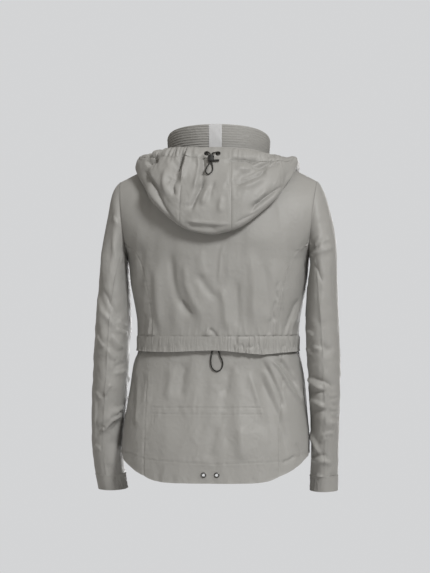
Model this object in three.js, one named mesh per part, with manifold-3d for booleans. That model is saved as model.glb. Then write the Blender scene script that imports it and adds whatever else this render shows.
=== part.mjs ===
// Hooded jacket in light woven cloth, shown closed and filled out as if worn, with nobody in it.
// Millimetres, +Z up. The front faces -Y and the wearer's left is +X.
// The origin is the centre of the neck opening, level with the collar seam at the centre back.
import * as THREE from "three";
import Module from "manifold-3d";
import { mergeVertices } from "three/addons/utils/BufferGeometryUtils.js";

const wasm = await Module();
wasm.setup();

const CLOTH = 1.5; // wall of every cloth piece
const SEAM_GAP = 0.3; // between two pieces sewn together
const SIDE_Y = -4; // the side seams and the shoulder ends lie in this plane
const SQUARENESS = 2.3; // 2 would make each body ring an ellipse
const ARMPIT_Z = -206;
const DEGREE = Math.PI / 180;

const NECK = { half: 100, depth: 80, y: -8, level: -29.75, tilt: 37.5, dip: -7.75 };
const SHOULDER = { x: 197, z: -60 };
const ARMHOLE = { x: 181, back: 62, front: 60 };
const COLLAR = { height: 50, sideDrop: 5, foot: 0.016, thick: 2.2, spread: 3, rib: 5, ribDepth: 0.7 };
const HEM = { side: -600, backDrop: 51, frontDrop: 24, sharpness: 6.6 };
const YOKE = { casingTop: -366, edge: -396, tuckTop: -372, tuckStart: -412, tuck: 3.6 };
const SEAM_X_LOWER = 133; // from the centre back to the side-back seam below the yoke
const FRONT_EDGE_X = 5.2; // from the centre line to the edge of each front
const SLEEVE = { cuffTop: 505, end: 535, frontSeam: 222 };
const CUFF_GATHERS = 20;
const HOOD = { casing: 23, casingStart: 0.875, end: 160, seamUp: 0.09, seamOut: 3.4, perTurn: 2.3 };

const COLOURS = { cloth: 0x8f8d87, tape: 0xc9cacd, black: 0x24241f, metal: 0x77756f };

// A table with named columns. The first column is the one that a value is looked up by, and it rises.
function table(names, ...rows) {
  const made = { key: names[0] };
  names.forEach((name, i) => (made[name] = rows.map((row) => row[i])));
  return made;
}

// The value of a column, on a smooth curve through the rows.
function read(rows, column, at) {
  const x = rows[rows.key];
  const y = rows[column];
  const last = x.length - 1;
  const value = Math.min(x[last], Math.max(x[0], at));
  let i = 0;
  while (i < last - 1 && value > x[i + 1]) i++;
  const slope = (j) => {
    const a = Math.max(0, j - 1);
    const b = Math.min(last, j + 1);
    return (y[b] - y[a]) / (x[b] - x[a]);
  };
  const step = x[i + 1] - x[i];
  const s = (value - x[i]) / step;
  const [p, q] = [s * s * (3 - 2 * s), s * (1 - s)];
  return y[i] * (1 - p) + y[i + 1] * p + q * step * (slope(i) * (1 - s) - slope(i + 1) * s);
}

const lerp = (a, b, t) => a + (b - a) * t;
const smooth = (t) => {
  const s = Math.min(1, Math.max(0, t));
  return s * s * (3 - 2 * s);
};
const power = (value, p) => Math.sign(value) * Math.abs(value) ** p;
const point = (x = 0, y = 0, z = 0) => new THREE.Vector3(x, y, z);

// Body rings: where the ring's centre lies, its half width, and how far it reaches to the front,
// to the back below the yoke, and to the back in the yoke, from the plane of the side seams.
const TORSO = table(
  ["z", "shift", "half", "front", "back", "yoke"],
  [-660, 6, 189, 122, 132, 112],
  [-600, 6, 188, 121, 130, 112],
  [-560, 5, 186, 119, 126, 112],
  [-516, 4, 181, 116, 118, 112],
  [-460, 2, 174, 111, 107, 112],
  [-424, 2, 168, 109, 103.5, 112],
  [-396, 1, 161, 109, 105.5, 112.5],
  [-372, 1, 161, 110, 111.1, 114],
  [-330, 0, 163.5, 115, 114, 117.5],
  [-264, 0, 175, 126, 119, 121.5],
  [-206, 0, 181, 125, 123, 123],
);

// The centre lines from the level of the armpits (0) to the collar seam (1).
const CENTRE_BACK = table(
  ["v", "y", "z"],
  [0, 119, -206],
  [0.25, 120, -158],
  [0.5, 114, -106],
  [0.75, 98, -52],
  [1, 72, 0],
);
const CENTRE_FRONT = table(
  ["v", "y", "z"],
  [0, -129, -206],
  [0.3, -127, -168],
  [0.6, -116, -128],
  [0.85, -98, -92],
  [1, -88, -75],
);
const NECK_SHARE = 0.5; // of a top edge from the centre to the shoulder's end, the part along the collar
const SHOULDER_BOW = 3; // how far the shoulder seam bows up between its ends

// A point of the body below the armpits. turn is 0 at the centre back, 90 at the wearer's left
// and 180 in front.
function ring(turn, z, backColumn = "yoke", tuck = 0) {
  const [s, c] = [Math.sin(turn * DEGREE), Math.cos(turn * DEGREE)];
  const depth = read(TORSO, c > 0 ? backColumn : "front", z);
  const half = read(TORSO, "half", z) - tuck;
  return point(
    read(TORSO, "shift", z) + half * power(s, 2 / SQUARENESS),
    SIDE_Y + depth * power(c, 2 / SQUARENESS),
    z,
  );
}

const hemZ = (turn) => {
  const drop = Math.cos(turn * DEGREE) > 0 ? HEM.backDrop : HEM.frontDrop;
  return HEM.side - drop * (1 - Math.abs(Math.sin(turn * DEGREE)) ** HEM.sharpness);
};

// The collar seam. turn is as on the body rings.
function neck(turn) {
  const a = turn * DEGREE;
  return point(
    NECK.half * Math.sin(a),
    NECK.y + NECK.depth * Math.cos(a),
    NECK.level + NECK.tilt * Math.cos(a) + NECK.dip * Math.cos(2 * a),
  );
}

// The armhole of the left side. round is 0 at the shoulder, 90 at the back, 180 at the armpit
// and -90 in front.
function armhole(round) {
  const up = (1 + Math.cos(round * DEGREE)) / 2;
  const sine = Math.sin(round * DEGREE);
  return point(
    lerp(ARMHOLE.x, SHOULDER.x, up),
    SIDE_Y + (sine > 0 ? ARMHOLE.back : ARMHOLE.front) * sine,
    lerp(ARMPIT_Z, SHOULDER.z, up),
  );
}

// The top edge of a back (face 1) or front (face -1): the collar seam, then the shoulder seam.
function topEdge(s, face) {
  if (s <= NECK_SHARE) return neck(face > 0 ? (90 * s) / NECK_SHARE : 180 - (90 * s) / NECK_SHARE);
  const along = (s - NECK_SHARE) / (1 - NECK_SHARE);
  const [from, to] = [neck(90), armhole(0)];
  const edge = from.clone().lerp(to, along);
  edge.z += SHOULDER_BOW * Math.sin(Math.PI * along);
  return edge;
}

// A point of the body above the armpits: u from -1 at the right armhole to 1 at the left,
// v from 0 at the level of the armpits to 1 at the top edge.
function upper(u, v, face) {
  const s = Math.abs(u);
  const centre = face > 0 ? CENTRE_BACK : CENTRE_FRONT;
  const [cy, cz] = [read(centre, "y", v), read(centre, "z", v)];
  const edge = armhole(face * (180 - 180 * v));
  const [top, topCentre, topEnd] = [topEdge(s, face), topEdge(0, face), topEdge(1, face)];
  const ringX = Math.sin(90 * s * DEGREE) ** (2 / SQUARENESS);
  const ringY = 1 - Math.cos(90 * s * DEGREE) ** (2 / SQUARENESS);
  const share = (axis) => (topCentre[axis] - top[axis]) / (topCentre[axis] - topEnd[axis]);
  const blend = v ** 1.6;
  const x = edge.x * lerp(ringX, top.x / topEnd.x, blend);
  const y = lerp(cy, edge.y, lerp(ringY, share("y"), blend));
  const z = lerp(cz, edge.z, lerp(s * s, share("z"), blend));
  return point(u < 0 ? -x : x, y, z);
}

// Large folds of the back, as seen from behind: two ends, the half width, and the depth.
// A trough's depth is negative.
const FOLD_NAMES = ["x1", "z1", "x2", "z2", "width", "depth"];
const named = (row) => Object.fromEntries(row.map((value, i) => [FOLD_NAMES[i], value]));
const folds = (...rows) => rows.map(named);
const YOKE_FOLDS = folds(
  [86, -180, 74, -330, 22, -3],
  [44, -190, 30, -350, 24, 2.5],
  [-26, -220, -52, -350, 22, -3],
  [-84, -170, -78, -330, 26, -3.5],
  [-118, -210, -104, -345, 16, 3],
);
const LOWER_FOLDS = folds(
  [-74, -398, -124, -590, 15, -4.5],
  [-98, -398, -146, -540, 11, 4],
  [-38, -400, -62, -640, 20, 3],
  [-22, -430, -34, -610, 18, -3],
  [84, -420, 58, -600, 26, -2.5],
);
const HOOD_FOLDS = folds(
  [78, -14, 70, -78, 7, -6],
  [34, -10, 16, -96, 9, -4.5],
  [92, -60, 70, -110, 10, 2.5],
  [-30, -70, -118, -22, 8, -4.5],
  [-58, -30, -124, -8, 7, -3.5],
  [-66, -128, -134, -70, 7, -4],
  [50, -143, -40, -150, 7, -3],
);
const SLEEVE_FOLDS = folds(
  [236, -300, 214, -400, 9, -5],
  [222, -370, 190, -408, 8, 3.5],
  [196, -512, 246, -548, 8, -5],
  [-196, -380, -232, -398, 8, 4],
  [-200, -520, -234, -548, 9, -4],
);

// The height that a list of folds adds at a place seen from behind.
function relief(list, x, z) {
  return list.reduce((sum, fold) => {
    const [dx, dz] = [fold.x2 - fold.x1, fold.z2 - fold.z1];
    const length = Math.hypot(dx, dz);
    const along = ((x - fold.x1) * dx + (z - fold.z1) * dz) / length / length;
    const across = ((x - fold.x1) * dz - (z - fold.z1) * dx) / length / fold.width;
    const taper = smooth(along / 0.3) * smooth((1 - along) / 0.3);
    return sum + fold.depth * taper * Math.exp(-across * across);
  }, 0);
}

// Uniform steps from 0 to 1, or the list itself.
const steps = (count) =>
  Array.isArray(count) ? count : Array.from({ length: count + 1 }, (_, i) => i / count);

// The unit normal of a surface, from its slopes. side picks which way it points.
function normalOf(surface, a, b, side) {
  const step = 1e-3;
  const [a0, a1] = [Math.max(0, a - step), Math.min(1, a + step)];
  const [b0, b1] = [Math.max(0, b - step), Math.min(1, b + step)];
  const across = surface(a1, b).sub(surface(a0, b));
  const up = surface(a, b1).sub(surface(a, b0));
  return across.cross(up).multiplyScalar(side).normalize();
}

// A closed cloth wall. surface(a, b) is its plain outer face, height(a, b, place) the folds on it,
// and fit may correct a normal. The wall's points lie along the plain face's normals, so tight
// gathers never cross. columns and rows divide it, innerRows divides a plainer inside, and loop
// joins the last column to the first.
// pull draws its edges back by half a seam gap.
function cloth({
  surface,
  columns,
  rows,
  innerRows = rows,
  side = 1,
  height,
  fit,
  loop = false,
  thick = CLOTH,
  pull = true,
}) {
  const across = steps(columns);
  const used = loop ? across.slice(0, -1) : across;
  const grid = (ups, depth, folded) =>
    used.map((a) =>
      ups.map((b) => {
        const place = surface(a, b);
        const normal = normalOf(surface, a, b, side);
        if (fit) fit(normal, a, b);
        const raised = height && folded ? height(a, b, place) : 0;
        return place.addScaledVector(normal, raised - depth);
      }),
    );
  const [outerUps, innerUps] = [steps(rows), steps(innerRows)];
  const sheets = [grid(outerUps, 0, true), grid(innerUps, thick, innerUps.length === outerUps.length)];
  if (pull) {
    for (const sheet of sheets) {
      const moved = (from, to) => to.clone().sub(from).setLength(SEAM_GAP / 2);
      const last = sheet.length - 1;
      for (const column of sheet) {
        const end = column.length - 1;
        const [low, high] = [moved(column[0], column[1]), moved(column[end], column[end - 1])];
        column[0].add(low);
        column[end].add(high);
      }
      if (!loop)
        sheet[0].forEach((p, j) => {
          const [left, right] = [moved(p, sheet[1][j]), moved(sheet[last][j], sheet[last - 1][j])];
          p.add(left);
          sheet[last][j].add(right);
        });
    }
  }
  return closedWall(sheets[0], sheets[1], loop);
}

// Joins an outer and an inner grid of points, with the same columns, into one closed body.
function closedWall(outer, inner, loop) {
  const points = [];
  const number = (grid) => grid.map((column) => column.map((p) => points.push(p) - 1));
  const [out, inn] = [number(outer), number(inner)];
  const faces = [];
  const quad = (a, b, c, d) => faces.push([a, b, c], [a, c, d]);
  const count = out.length;
  for (let i = 0; i < (loop ? count : count - 1); i++) {
    const next = (i + 1) % count;
    const [o, p, m, n] = [out[i], out[next], inn[i], inn[next]];
    for (let j = 0; j < o.length - 1; j++) quad(o[j], p[j], p[j + 1], o[j + 1]);
    for (let j = 0; j < m.length - 1; j++) quad(m[j + 1], n[j + 1], n[j], m[j]);
    quad(p[0], o[0], m[0], n[0]);
    quad(o.at(-1), p.at(-1), n.at(-1), m.at(-1));
  }
  // An end is a strip between two columns that may have different numbers of points.
  const end = (a, b, flip) => {
    let [i, j] = [0, 0];
    while (i < a.length - 1 || j < b.length - 1) {
      const nearer = i < a.length - 1 && (i + 1) / (a.length - 1) <= (j + 1) / (b.length - 1);
      const first = j === b.length - 1 || nearer;
      const face = first ? [a[i], a[i + 1], b[j]] : [a[i], b[j + 1], b[j]];
      faces.push(flip ? face.reverse() : face);
      if (first) i++;
      else j++;
    }
  };
  if (!loop) {
    end(out[0], inn[0], false);
    end(out[count - 1], inn[count - 1], true);
  }
  return bodyOf(points, faces);
}

// A geometry from points and faces, turned round if its faces point inwards.
function bodyOf(points, faces) {
  const volumeOf = ([a, b, c]) => points[a].dot(points[b].clone().cross(points[c]));
  const volume = faces.reduce((sum, face) => sum + volumeOf(face), 0);
  const index = faces.flatMap(([a, b, c]) => (volume > 0 ? [a, b, c] : [a, c, b]));
  const places = points.flatMap((p) => [p.x, p.y, p.z]);
  const geometry = new THREE.BufferGeometry();
  geometry.setAttribute("position", new THREE.Float32BufferAttribute(places, 3));
  geometry.setIndex(index);
  return geometry;
}

// A library geometry as one closed body: shared corners merged, faces of no area dropped, facing out.
function closed(geometry) {
  const bare = geometry.clone();
  bare.deleteAttribute("normal");
  bare.deleteAttribute("uv");
  const merged = mergeVertices(bare, 1e-4);
  const place = merged.getAttribute("position");
  const points = Array.from({ length: place.count }, (_, i) => point().fromBufferAttribute(place, i));
  const faces = [];
  for (let i = 0; i < merged.index.count; i += 3) {
    const face = Array.from(merged.index.array.slice(i, i + 3));
    if (new Set(face).size === 3) faces.push(face);
  }
  return bodyOf(points, faces);
}

const jacket = new THREE.Group();

function add(name, geometry, colour, finish = {}) {
  const plain = { color: colour, roughness: 0.55, metalness: 0 };
  const mesh = new THREE.Mesh(geometry, new THREE.MeshStandardMaterial({ ...plain, ...finish }));
  mesh.name = name;
  jacket.add(mesh);
  return mesh;
}

// On the shoulder seam both halves lean their walls the same way, square to the seam.
function squareToShoulder(normal, u, v) {
  if (v < 1 || Math.abs(u) <= 0.5) return;
  const seam = armhole(0).sub(neck(90));
  normal.set(Math.sign(u) * -seam.z, 0, seam.x).normalize();
}

// How far round the side-back seam of the yoke lies, as a share of the way from the centre to the side.
const BACK_SEAM = table(
  ["z", "share"],
  [-396, 0.52],
  [-310, 0.525],
  [-250, 0.55],
  [-206, 0.635],
  [-190, 0.74],
  [-178, 0.89],
);
// Above the bend the seam runs straight to where it meets the armhole.
const SEAM_BEND = 1.19;
const SEAM_TOP = 1.32;
const SEAM_LAST_ROW = 1.1 / SEAM_BEND;
const SEAM_TOP_GAP = 0.2;
const seamShare = (z) => read(BACK_SEAM, "share", z);

// A point of the yoke at a share of the way round and a level h: 0 at the casing, 1 at the armpits
// and 2 at the top.
function yokePoint(share, h) {
  if (h <= 1) return ring(90 * share, lerp(YOKE.casingTop, ARMPIT_Z, h));
  return upper(share, h - 1, 1);
}
const yokeHeight = (h) =>
  h <= 1 ? lerp(YOKE.casingTop, ARMPIT_Z, h) : lerp(ARMPIT_Z, SHOULDER.z, h - 1);

// A point of a side panel of the yoke. Its top edge slants up to the armhole along a straight line.
function yokeSidePoint(hand, a, b) {
  const h = SEAM_BEND * b;
  const rise = (SEAM_TOP - SEAM_BEND) * Math.max(0, (h - 1) / (SEAM_BEND - 1));
  const at = (s, level, up) => yokePoint(hand * lerp(seamShare(yokeHeight(level)), 1, s), level + s * up);
  const place = at(a, h, rise);
  const top = SEAM_TOP - SEAM_BEND;
  const [from, to] = [at(0, SEAM_BEND, top), at(1, SEAM_BEND, top)];
  const run = to.clone().sub(from).normalize();
  const down = at(0.6, 1, 0).sub(at(0.6, SEAM_BEND, top));
  down.addScaledVector(run, -down.dot(run)).setLength(SEAM_TOP_GAP);
  const straight = from.lerp(to, a).add(down).sub(at(a, SEAM_BEND, top));
  return place.addScaledVector(straight, Math.max(0, (b - SEAM_LAST_ROW) / (1 - SEAM_LAST_ROW)));
}

function addYoke() {
  const bend = seamShare(yokeHeight(SEAM_BEND));
  const limit = (h) => {
    if (h < SEAM_BEND) return seamShare(yokeHeight(h));
    return lerp(bend, 1, Math.min(1, (h - SEAM_BEND) / (SEAM_TOP - SEAM_BEND)));
  };
  const seamLevels = [0, 0.2, 0.4, 0.6, 0.8, 1, 1.1, SEAM_BEND];
  const levels = [...seamLevels, SEAM_TOP, 1.46, 1.6, 1.73, 1.85, 1.93, 2].map((h) => h / 2);
  const onYoke = (share, h) => yokePoint(share(h), h);
  const height = (a, b, place) => (place.y > 40 ? relief(YOKE_FOLDS, place.x, place.z) : 0);
  add(
    "yoke_centre",
    cloth({
      surface: (a, b) => onYoke((h) => limit(h) * (2 * a - 1), 2 * b),
      columns: 18,
      rows: levels,
      height,
      fit: (normal, a, b) => squareToShoulder(normal, 2 * a - 1, b),
      side: -1,
    }),
    COLOURS.cloth,
  );
  for (const [name, hand] of [["yoke_left", 1], ["yoke_right", -1]])
    add(
      name,
      cloth({
        surface: (a, b) => yokeSidePoint(hand, a, b),
        columns: 5,
        rows: seamLevels.map((h) => h / SEAM_BEND),
        height,
        side: -hand,
      }),
      COLOURS.cloth,
    );
}

// The gathered casing along the yoke's lower edge. Its gathers are tight on the right and at the far left.
const CASING_GATHERS = table(
  ["turn", "depth"],
  [-90, 1.2],
  [-60, 1.5],
  [-15, 1.3],
  [-4, 0.5],
  [20, 0.35],
  [52, 0.5],
  [66, 1.3],
  [90, 1.2],
);
const CASING_GATHERS_COUNT = 38;
// The casing's lower edge lifts over the waist loop and sags to the right of it.
const CASING_EDGE = table(
  ["turn", "z"],
  [-90, -397],
  [-50, -399],
  [-32, -401.5],
  [-15, -397],
  [-2, -393.5],
  [10, -394.5],
  [30, -397],
  [90, -397],
);

function addYokeCasing() {
  const turnAt = (a) => lerp(-90, 90, a);
  const outward = 0.6; // the gathers stand out from the plain band more than they dip into it
  add(
    "yoke_casing",
    cloth({
      surface: (a, b) => ring(turnAt(a), lerp(read(CASING_EDGE, "z", turnAt(a)), YOKE.casingTop, b)),
      columns: 2 * CASING_GATHERS_COUNT,
      rows: 2,
      side: -1,
      height: (a) => {
        const wave = Math.cos(2 * Math.PI * CASING_GATHERS_COUNT * a);
        return read(CASING_GATHERS, "depth", turnAt(a)) * (outward + wave);
      },
    }),
    COLOURS.cloth,
  );
}

// Below the yoke the back tucks in behind the casing.
function lowerPoint(turn, z) {
  const tuck = YOKE.tuck * smooth((z - YOKE.tuckStart) / (YOKE.edge - YOKE.tuckStart));
  return ring(turn, z, "back", tuck);
}
const turnOfX = (x, z) => Math.asin((x / read(TORSO, "half", z)) ** (SQUARENESS / 2)) / DEGREE;

function addLowerBack() {
  const rows = [0, 0.04, 0.12, 0.22, 0.32, 0.42, 0.52, 0.62, 0.72, 0.81, 0.89, 0.95, 1];
  const height = (a, b, place) =>
    place.y > 20 ? relief(LOWER_FOLDS, place.x, place.z) * smooth((YOKE.tuckTop - place.z) / 30) : 0;
  const panel = (turnAt) => (a, b) => {
    const edge = turnAt(a, YOKE.edge);
    return lowerPoint(turnAt(a, lerp(hemZ(edge), YOKE.tuckTop, b)), lerp(hemZ(edge), YOKE.tuckTop, b));
  };
  const seam = (z) => turnOfX(SEAM_X_LOWER, z);
  add(
    "back_centre",
    cloth({ surface: panel((a, z) => seam(z) * (2 * a - 1)), columns: 20, rows, height, side: -1 }),
    COLOURS.cloth,
  );
  for (const [name, hand] of [["back_left", 1], ["back_right", -1]])
    add(
      name,
      cloth({ surface: panel((a, z) => hand * lerp(seam(z), 90, a)), columns: 7, rows, height, side: -hand }),
      COLOURS.cloth,
    );
}

// The fronts run from the zip to the side seams, and from the hem to the shoulder and collar seams.
function frontPoint(share, h, hand) {
  const turn = 180 - 90 * share;
  const place = h <= 1 ? ring(hand * turn, lerp(hemZ(turn), ARMPIT_Z, h)) : upper(hand * share, h - 1, -1);
  if (share <= 0) place.x = hand * FRONT_EDGE_X;
  return place;
}

function addFronts() {
  const levels = [0, 0.1, 0.2, 0.3, 0.4, 0.5, 0.6, 0.7, 0.8, 0.9, 1, 1.12, 1.26, 1.42, 1.58, 1.74, 1.88, 2];
  for (const [name, hand] of [["front_left", 1], ["front_right", -1]])
    add(
      name,
      cloth({
        surface: (a, b) => frontPoint(a, 2 * b, hand),
        columns: [0, 0.09, 0.22, 0.36, 0.51, 0.66, 0.79, 0.91, 1],
        rows: levels.map((h) => h / 2),
        fit: (normal, a, b) => squareToShoulder(normal, hand * a, b),
        side: hand,
      }),
      COLOURS.cloth,
    );
}

// The collar stands on its seam. Rows of stitching make it ribbed outside and plain inside.
function collarPoint(turn, up) {
  const foot = neck(turn);
  const spread = 1 + (COLLAR.spread * up) / NECK.half;
  const height = COLLAR.height - COLLAR.sideDrop * Math.sin(turn * DEGREE) ** 2;
  return point(foot.x * spread, NECK.y + (foot.y - NECK.y) * spread, foot.z + height * up);
}
const collarEnd = 180 - Math.asin(FRONT_EDGE_X / NECK.half) / DEGREE;

function addCollar() {
  const ribs = COLLAR.height / COLLAR.rib;
  add(
    "collar",
    cloth({
      surface: (a, b) => collarPoint(lerp(-collarEnd, collarEnd, a), lerp(COLLAR.foot, 1, b)),
      columns: 24,
      rows: 2 * ribs,
      innerRows: 2,
      side: -1,
      thick: COLLAR.thick,
      height: (a, b) => -COLLAR.ribDepth * (Math.round(b * 2 * ribs) % 2 ? 0 : 1),
    }),
    COLOURS.cloth,
  );
  const tape = { turn: 0, half: 7.2, gap: 0.35, thick: 1 };
  add(
    "collar_tape",
    cloth({
      surface: (a, b) => {
        const place = collarPoint(tape.turn + lerp(-tape.half, tape.half, a), lerp(0.02, 0.985, b));
        place.y += tape.gap + tape.thick;
        return place;
      },
      columns: 4,
      rows: 2,
      side: -1,
      thick: tape.thick,
      pull: false,
    }),
    COLOURS.tape,
    { roughness: 0.35 },
  );
}

// Sleeve sections from the armhole to the cuff: the inner and outer end of each, its centre from
// front to back, and its half depth. down is the distance along the sleeve.
const SLEEVE_NAMES = ["down", "innerX", "innerZ", "outerX", "outerZ", "y", "depth"];
const LEFT_SLEEVE = table(
  SLEEVE_NAMES,
  [0, 181, -206, 197, -60, -4, 61],
  [8, 182.6, -212, 204, -67, -4, 63],
  [20, 183.4, -219, 211.5, -82, -4, 65],
  [36, 183.6, -227, 217.5, -108, -4, 67],
  [56, 183, -237, 223, -144, -3, 69],
  [80, 182, -249, 229, -188, -3, 70],
  [108, 181, -265, 235.5, -232, -2, 70],
  [146, 179, -290, 240, -285, -1, 68],
  [190, 178, -332, 244.5, -332, 1, 65],
  [230, 179, -372, 247, -372, 3, 63],
  [270, 181, -412, 249, -412, 3, 62],
  [320, 184.5, -462, 252, -462, -1, 61],
  [370, 189, -510, 254.5, -510, -9, 58],
  [415, 194.5, -555, 256.5, -555, -18, 55],
  [455, 197.5, -595, 257, -595, -27, 52],
  [495, 195.5, -636, 253, -636, -36, 48],
  [535, 190, -678, 247, -678, -44, 46],
);
const RIGHT_SLEEVE = table(
  SLEEVE_NAMES,
  [0, 181, -206, 197, -60, -4, 61],
  [8, 182.6, -212, 202.5, -66, -4, 63],
  [20, 183.4, -219, 210.5, -83, -4, 65],
  [36, 183.6, -227, 219, -110, -4, 67],
  [56, 182.6, -237, 227.5, -143, -3, 69],
  [80, 181, -249, 234, -184, -3, 70],
  [108, 179.5, -265, 236.5, -232, -2, 70],
  [146, 177, -290, 237.5, -285, -1, 68],
  [190, 175, -332, 239, -332, 1, 65],
  [230, 175.5, -372, 240.5, -372, 3, 63],
  [270, 177.5, -412, 242, -412, 3, 62],
  [320, 181, -462, 242.5, -462, -1, 61],
  [370, 183, -510, 241.5, -510, -9, 58],
  [415, 184.5, -555, 240, -555, -18, 55],
  [455, 185, -595, 238, -595, -27, 52],
  [495, 183.5, -636, 237, -636, -36, 48],
  [535, 182, -678, 237, -678, -44, 46],
);

// A point of a sleeve. round is 0 at its outer side, 90 at the back and 180 next to the body.
function sleevePoint(sections, hand, round, down) {
  const [c, s] = [Math.cos(round * DEGREE), Math.sin(round * DEGREE)];
  const out = (1 + c) / 2;
  const at = (column) => read(sections, column, down);
  const clear = (0.45 + 0.8 * (1 - out)) * (1 - smooth(down / 8));
  const fullness = lerp(1, 0.92, smooth(down / 100));
  return point(
    hand * (lerp(at("innerX"), at("outerX"), out) + clear),
    at("y") + at("depth") * power(s, fullness),
    lerp(at("innerZ"), at("outerZ"), out),
  );
}

// Where the back seam of a sleeve lies round it.
const SLEEVE_SEAM = table(
  ["down", "round"],
  [0, 128],
  [50, 119],
  [110, 105],
  [190, 91],
  [300, 88],
  [535, 86],
);

function addSleeve(label, hand, sections) {
  const piece = (name, from, to, columns, start, end, rows, gather = () => 0) => {
    const roundAt = (a, down) => lerp(from(down), to(down), a);
    add(
      name,
      cloth({
        surface: (a, b) => sleevePoint(sections, hand, roundAt(a, lerp(start, end, b)), lerp(start, end, b)),
        columns,
        rows,
        side: hand,
        loop: to(0) - from(0) === 360,
        height: (a, b, place) => {
          const s = Math.sin(roundAt(a, lerp(start, end, b)) * DEGREE);
          return (s > 0 ? relief(SLEEVE_FOLDS, place.x, place.z) * s : 0) + gather(a);
        },
        // The end at the armhole leans away from the body panels.
        fit: (normal, a, b) => {
          if (start + b > 0 || normal.x * hand <= 0) return;
          normal.x = 0;
          normal.normalize();
        },
      }),
      COLOURS.cloth,
    );
  };
  const downs = [0, 8, 20, 36, 56, 80, 108, 150, 192, 228, 262, 300, 342, 388, 425, 468, SLEEVE.cuffTop];
  const rows = downs.map((d) => d / SLEEVE.cuffTop);
  const backSeam = (down) => read(SLEEVE_SEAM, "round", down);
  piece(`sleeve_${label}_top`, () => SLEEVE.frontSeam - 360, backSeam, 14, 0, SLEEVE.cuffTop, rows);
  piece(`sleeve_${label}_under`, backSeam, () => SLEEVE.frontSeam, 8, 0, SLEEVE.cuffTop, rows);
  // The cuff is gathered on the side next to the body.
  const gather = (a) => smooth(1.6 - Math.abs(a - 0.5) / 0.16) * Math.cos(2 * Math.PI * CUFF_GATHERS * a);
  piece(`cuff_${label}`, () => 0, () => 360, 2 * CUFF_GATHERS, SLEEVE.cuffTop, SLEEVE.end, 2, gather);
}

// The hood hangs down the back as an open pouch. Each section leaves the collar seam, lies on the
// body down to a fold, and comes back up to the face edge. turn is the place on the collar seam that
// a section starts from. foldX and foldZ are where the fold lies as seen from behind (or in front),
// edge is the place of the face edge, lift and thick are how far the near and the far layer stand
// off the body, and bulge is how far the far one swells.
const HOOD_NAMES = ["turn", "foldX", "foldZ", "edgeX", "edgeY", "edgeZ", "lift", "thick", "bulge"];
const HOOD_LEFT = table(
  HOOD_NAMES,
  [0, 0, -165, 0, 97, 3, 2.8, 32, 16],
  [20, 50, -154, 45, 94, 4, 2.8, 32, 16],
  [40, 97, -120, 82, 79, 5, 3, 31, 14],
  [60, 134, -80, 112, 53, 0, 4, 29, 10],
  [74, 154, -54, 127, 30, -5, 5, 27, 7],
  [87, 158, -44, 136, 5, -6, 7, 27, 5],
  [100, 150, -57, 138, -28, -7, 6, 28, 4],
  [118, 124, -76, 122, -63, -21, 5, 27, 4],
  [138, 88, -95, 90, -89, -46, 4.5, 21, 2],
  [160, 44, -110, 46, -109, -68, 4, 17, 1],
);
const HOOD_RIGHT = table(
  HOOD_NAMES,
  [0, 0, -165, 0, 97, 3, 2.8, 32, 16],
  [20, 50, -152, 45, 94, 1, 2.8, 32, 16],
  [40, 95, -118, 84, 79, -4, 3, 31, 14],
  [60, 128, -84, 116, 53, -9, 4, 29, 9],
  [74, 146, -60, 133, 29, -13, 5, 27, 6],
  [87, 151, -42, 142, 4, -12, 7, 27, 4],
  [100, 144, -56, 140, -28, -12, 6, 27, 4],
  [118, 122, -76, 122, -63, -23, 5, 26, 4],
  [138, 88, -95, 90, -89, -46, 4.5, 21, 2],
  [160, 44, -110, 46, -109, -68, 4, 17, 1],
);
const HOOD_RIDGE = 87; // past this turn a section folds in front of the shoulder seam
// How far down the near layer a section's points lie, as shares of the way from the collar seam to the fold.
const HOOD_SHARES = { upper: 0.4, lower: 0.75, rolled: 0.96, lip: 1.03, far: 0.94 };

// The body's own place (u, v) that is seen at x, z from behind (face 1) or in front (face -1).
function findOnBody(x, z, face) {
  let [u, v] = [Math.max(-0.98, Math.min(0.98, x / 195)), 0.4];
  for (let i = 0; i < 40; i++) {
    const here = upper(u, v, face);
    const d = 1e-3;
    const du = upper(u + d, v, face).sub(here).divideScalar(d);
    const dv = upper(u, v - d, face).sub(here).divideScalar(-d);
    const [ex, ez] = [x - here.x, z - here.z];
    const size = du.x * dv.z - du.z * dv.x;
    u = Math.max(-0.99, Math.min(0.99, u + (0.7 * (ex * dv.z - ez * dv.x)) / size));
    v = Math.max(0.02, Math.min(0.985, v + (0.7 * (du.x * ez - du.z * ex)) / size));
  }
  return [u, v];
}

// Height above the body at u, v. Past the shoulder seam, v over 1 runs on down the front.
function overBody(u, v, lift) {
  const face = v > 1 ? -1 : 1;
  const w = v > 1 ? 2 - v : v;
  const here = upper(u, w, face);
  const d = 1e-3;
  const [u0, w0] = [Math.min(0.999, Math.max(-0.999, u)), Math.max(d, Math.min(1 - d, w))];
  const across = upper(u0 + d, w0, face).sub(upper(u0 - d, w0, face));
  const up = upper(u0, w0 + d, face).sub(upper(u0, w0 - d, face));
  const normal = across.cross(up).multiplyScalar(-face).normalize();
  const seam = armhole(0).sub(neck(90));
  const square = point(-Math.sign(u) * seam.z, 0, seam.x).normalize();
  normal.lerp(square, smooth(1 - Math.abs(v - 1) / 0.2)).normalize();
  return here.addScaledVector(normal, lift);
}

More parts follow.
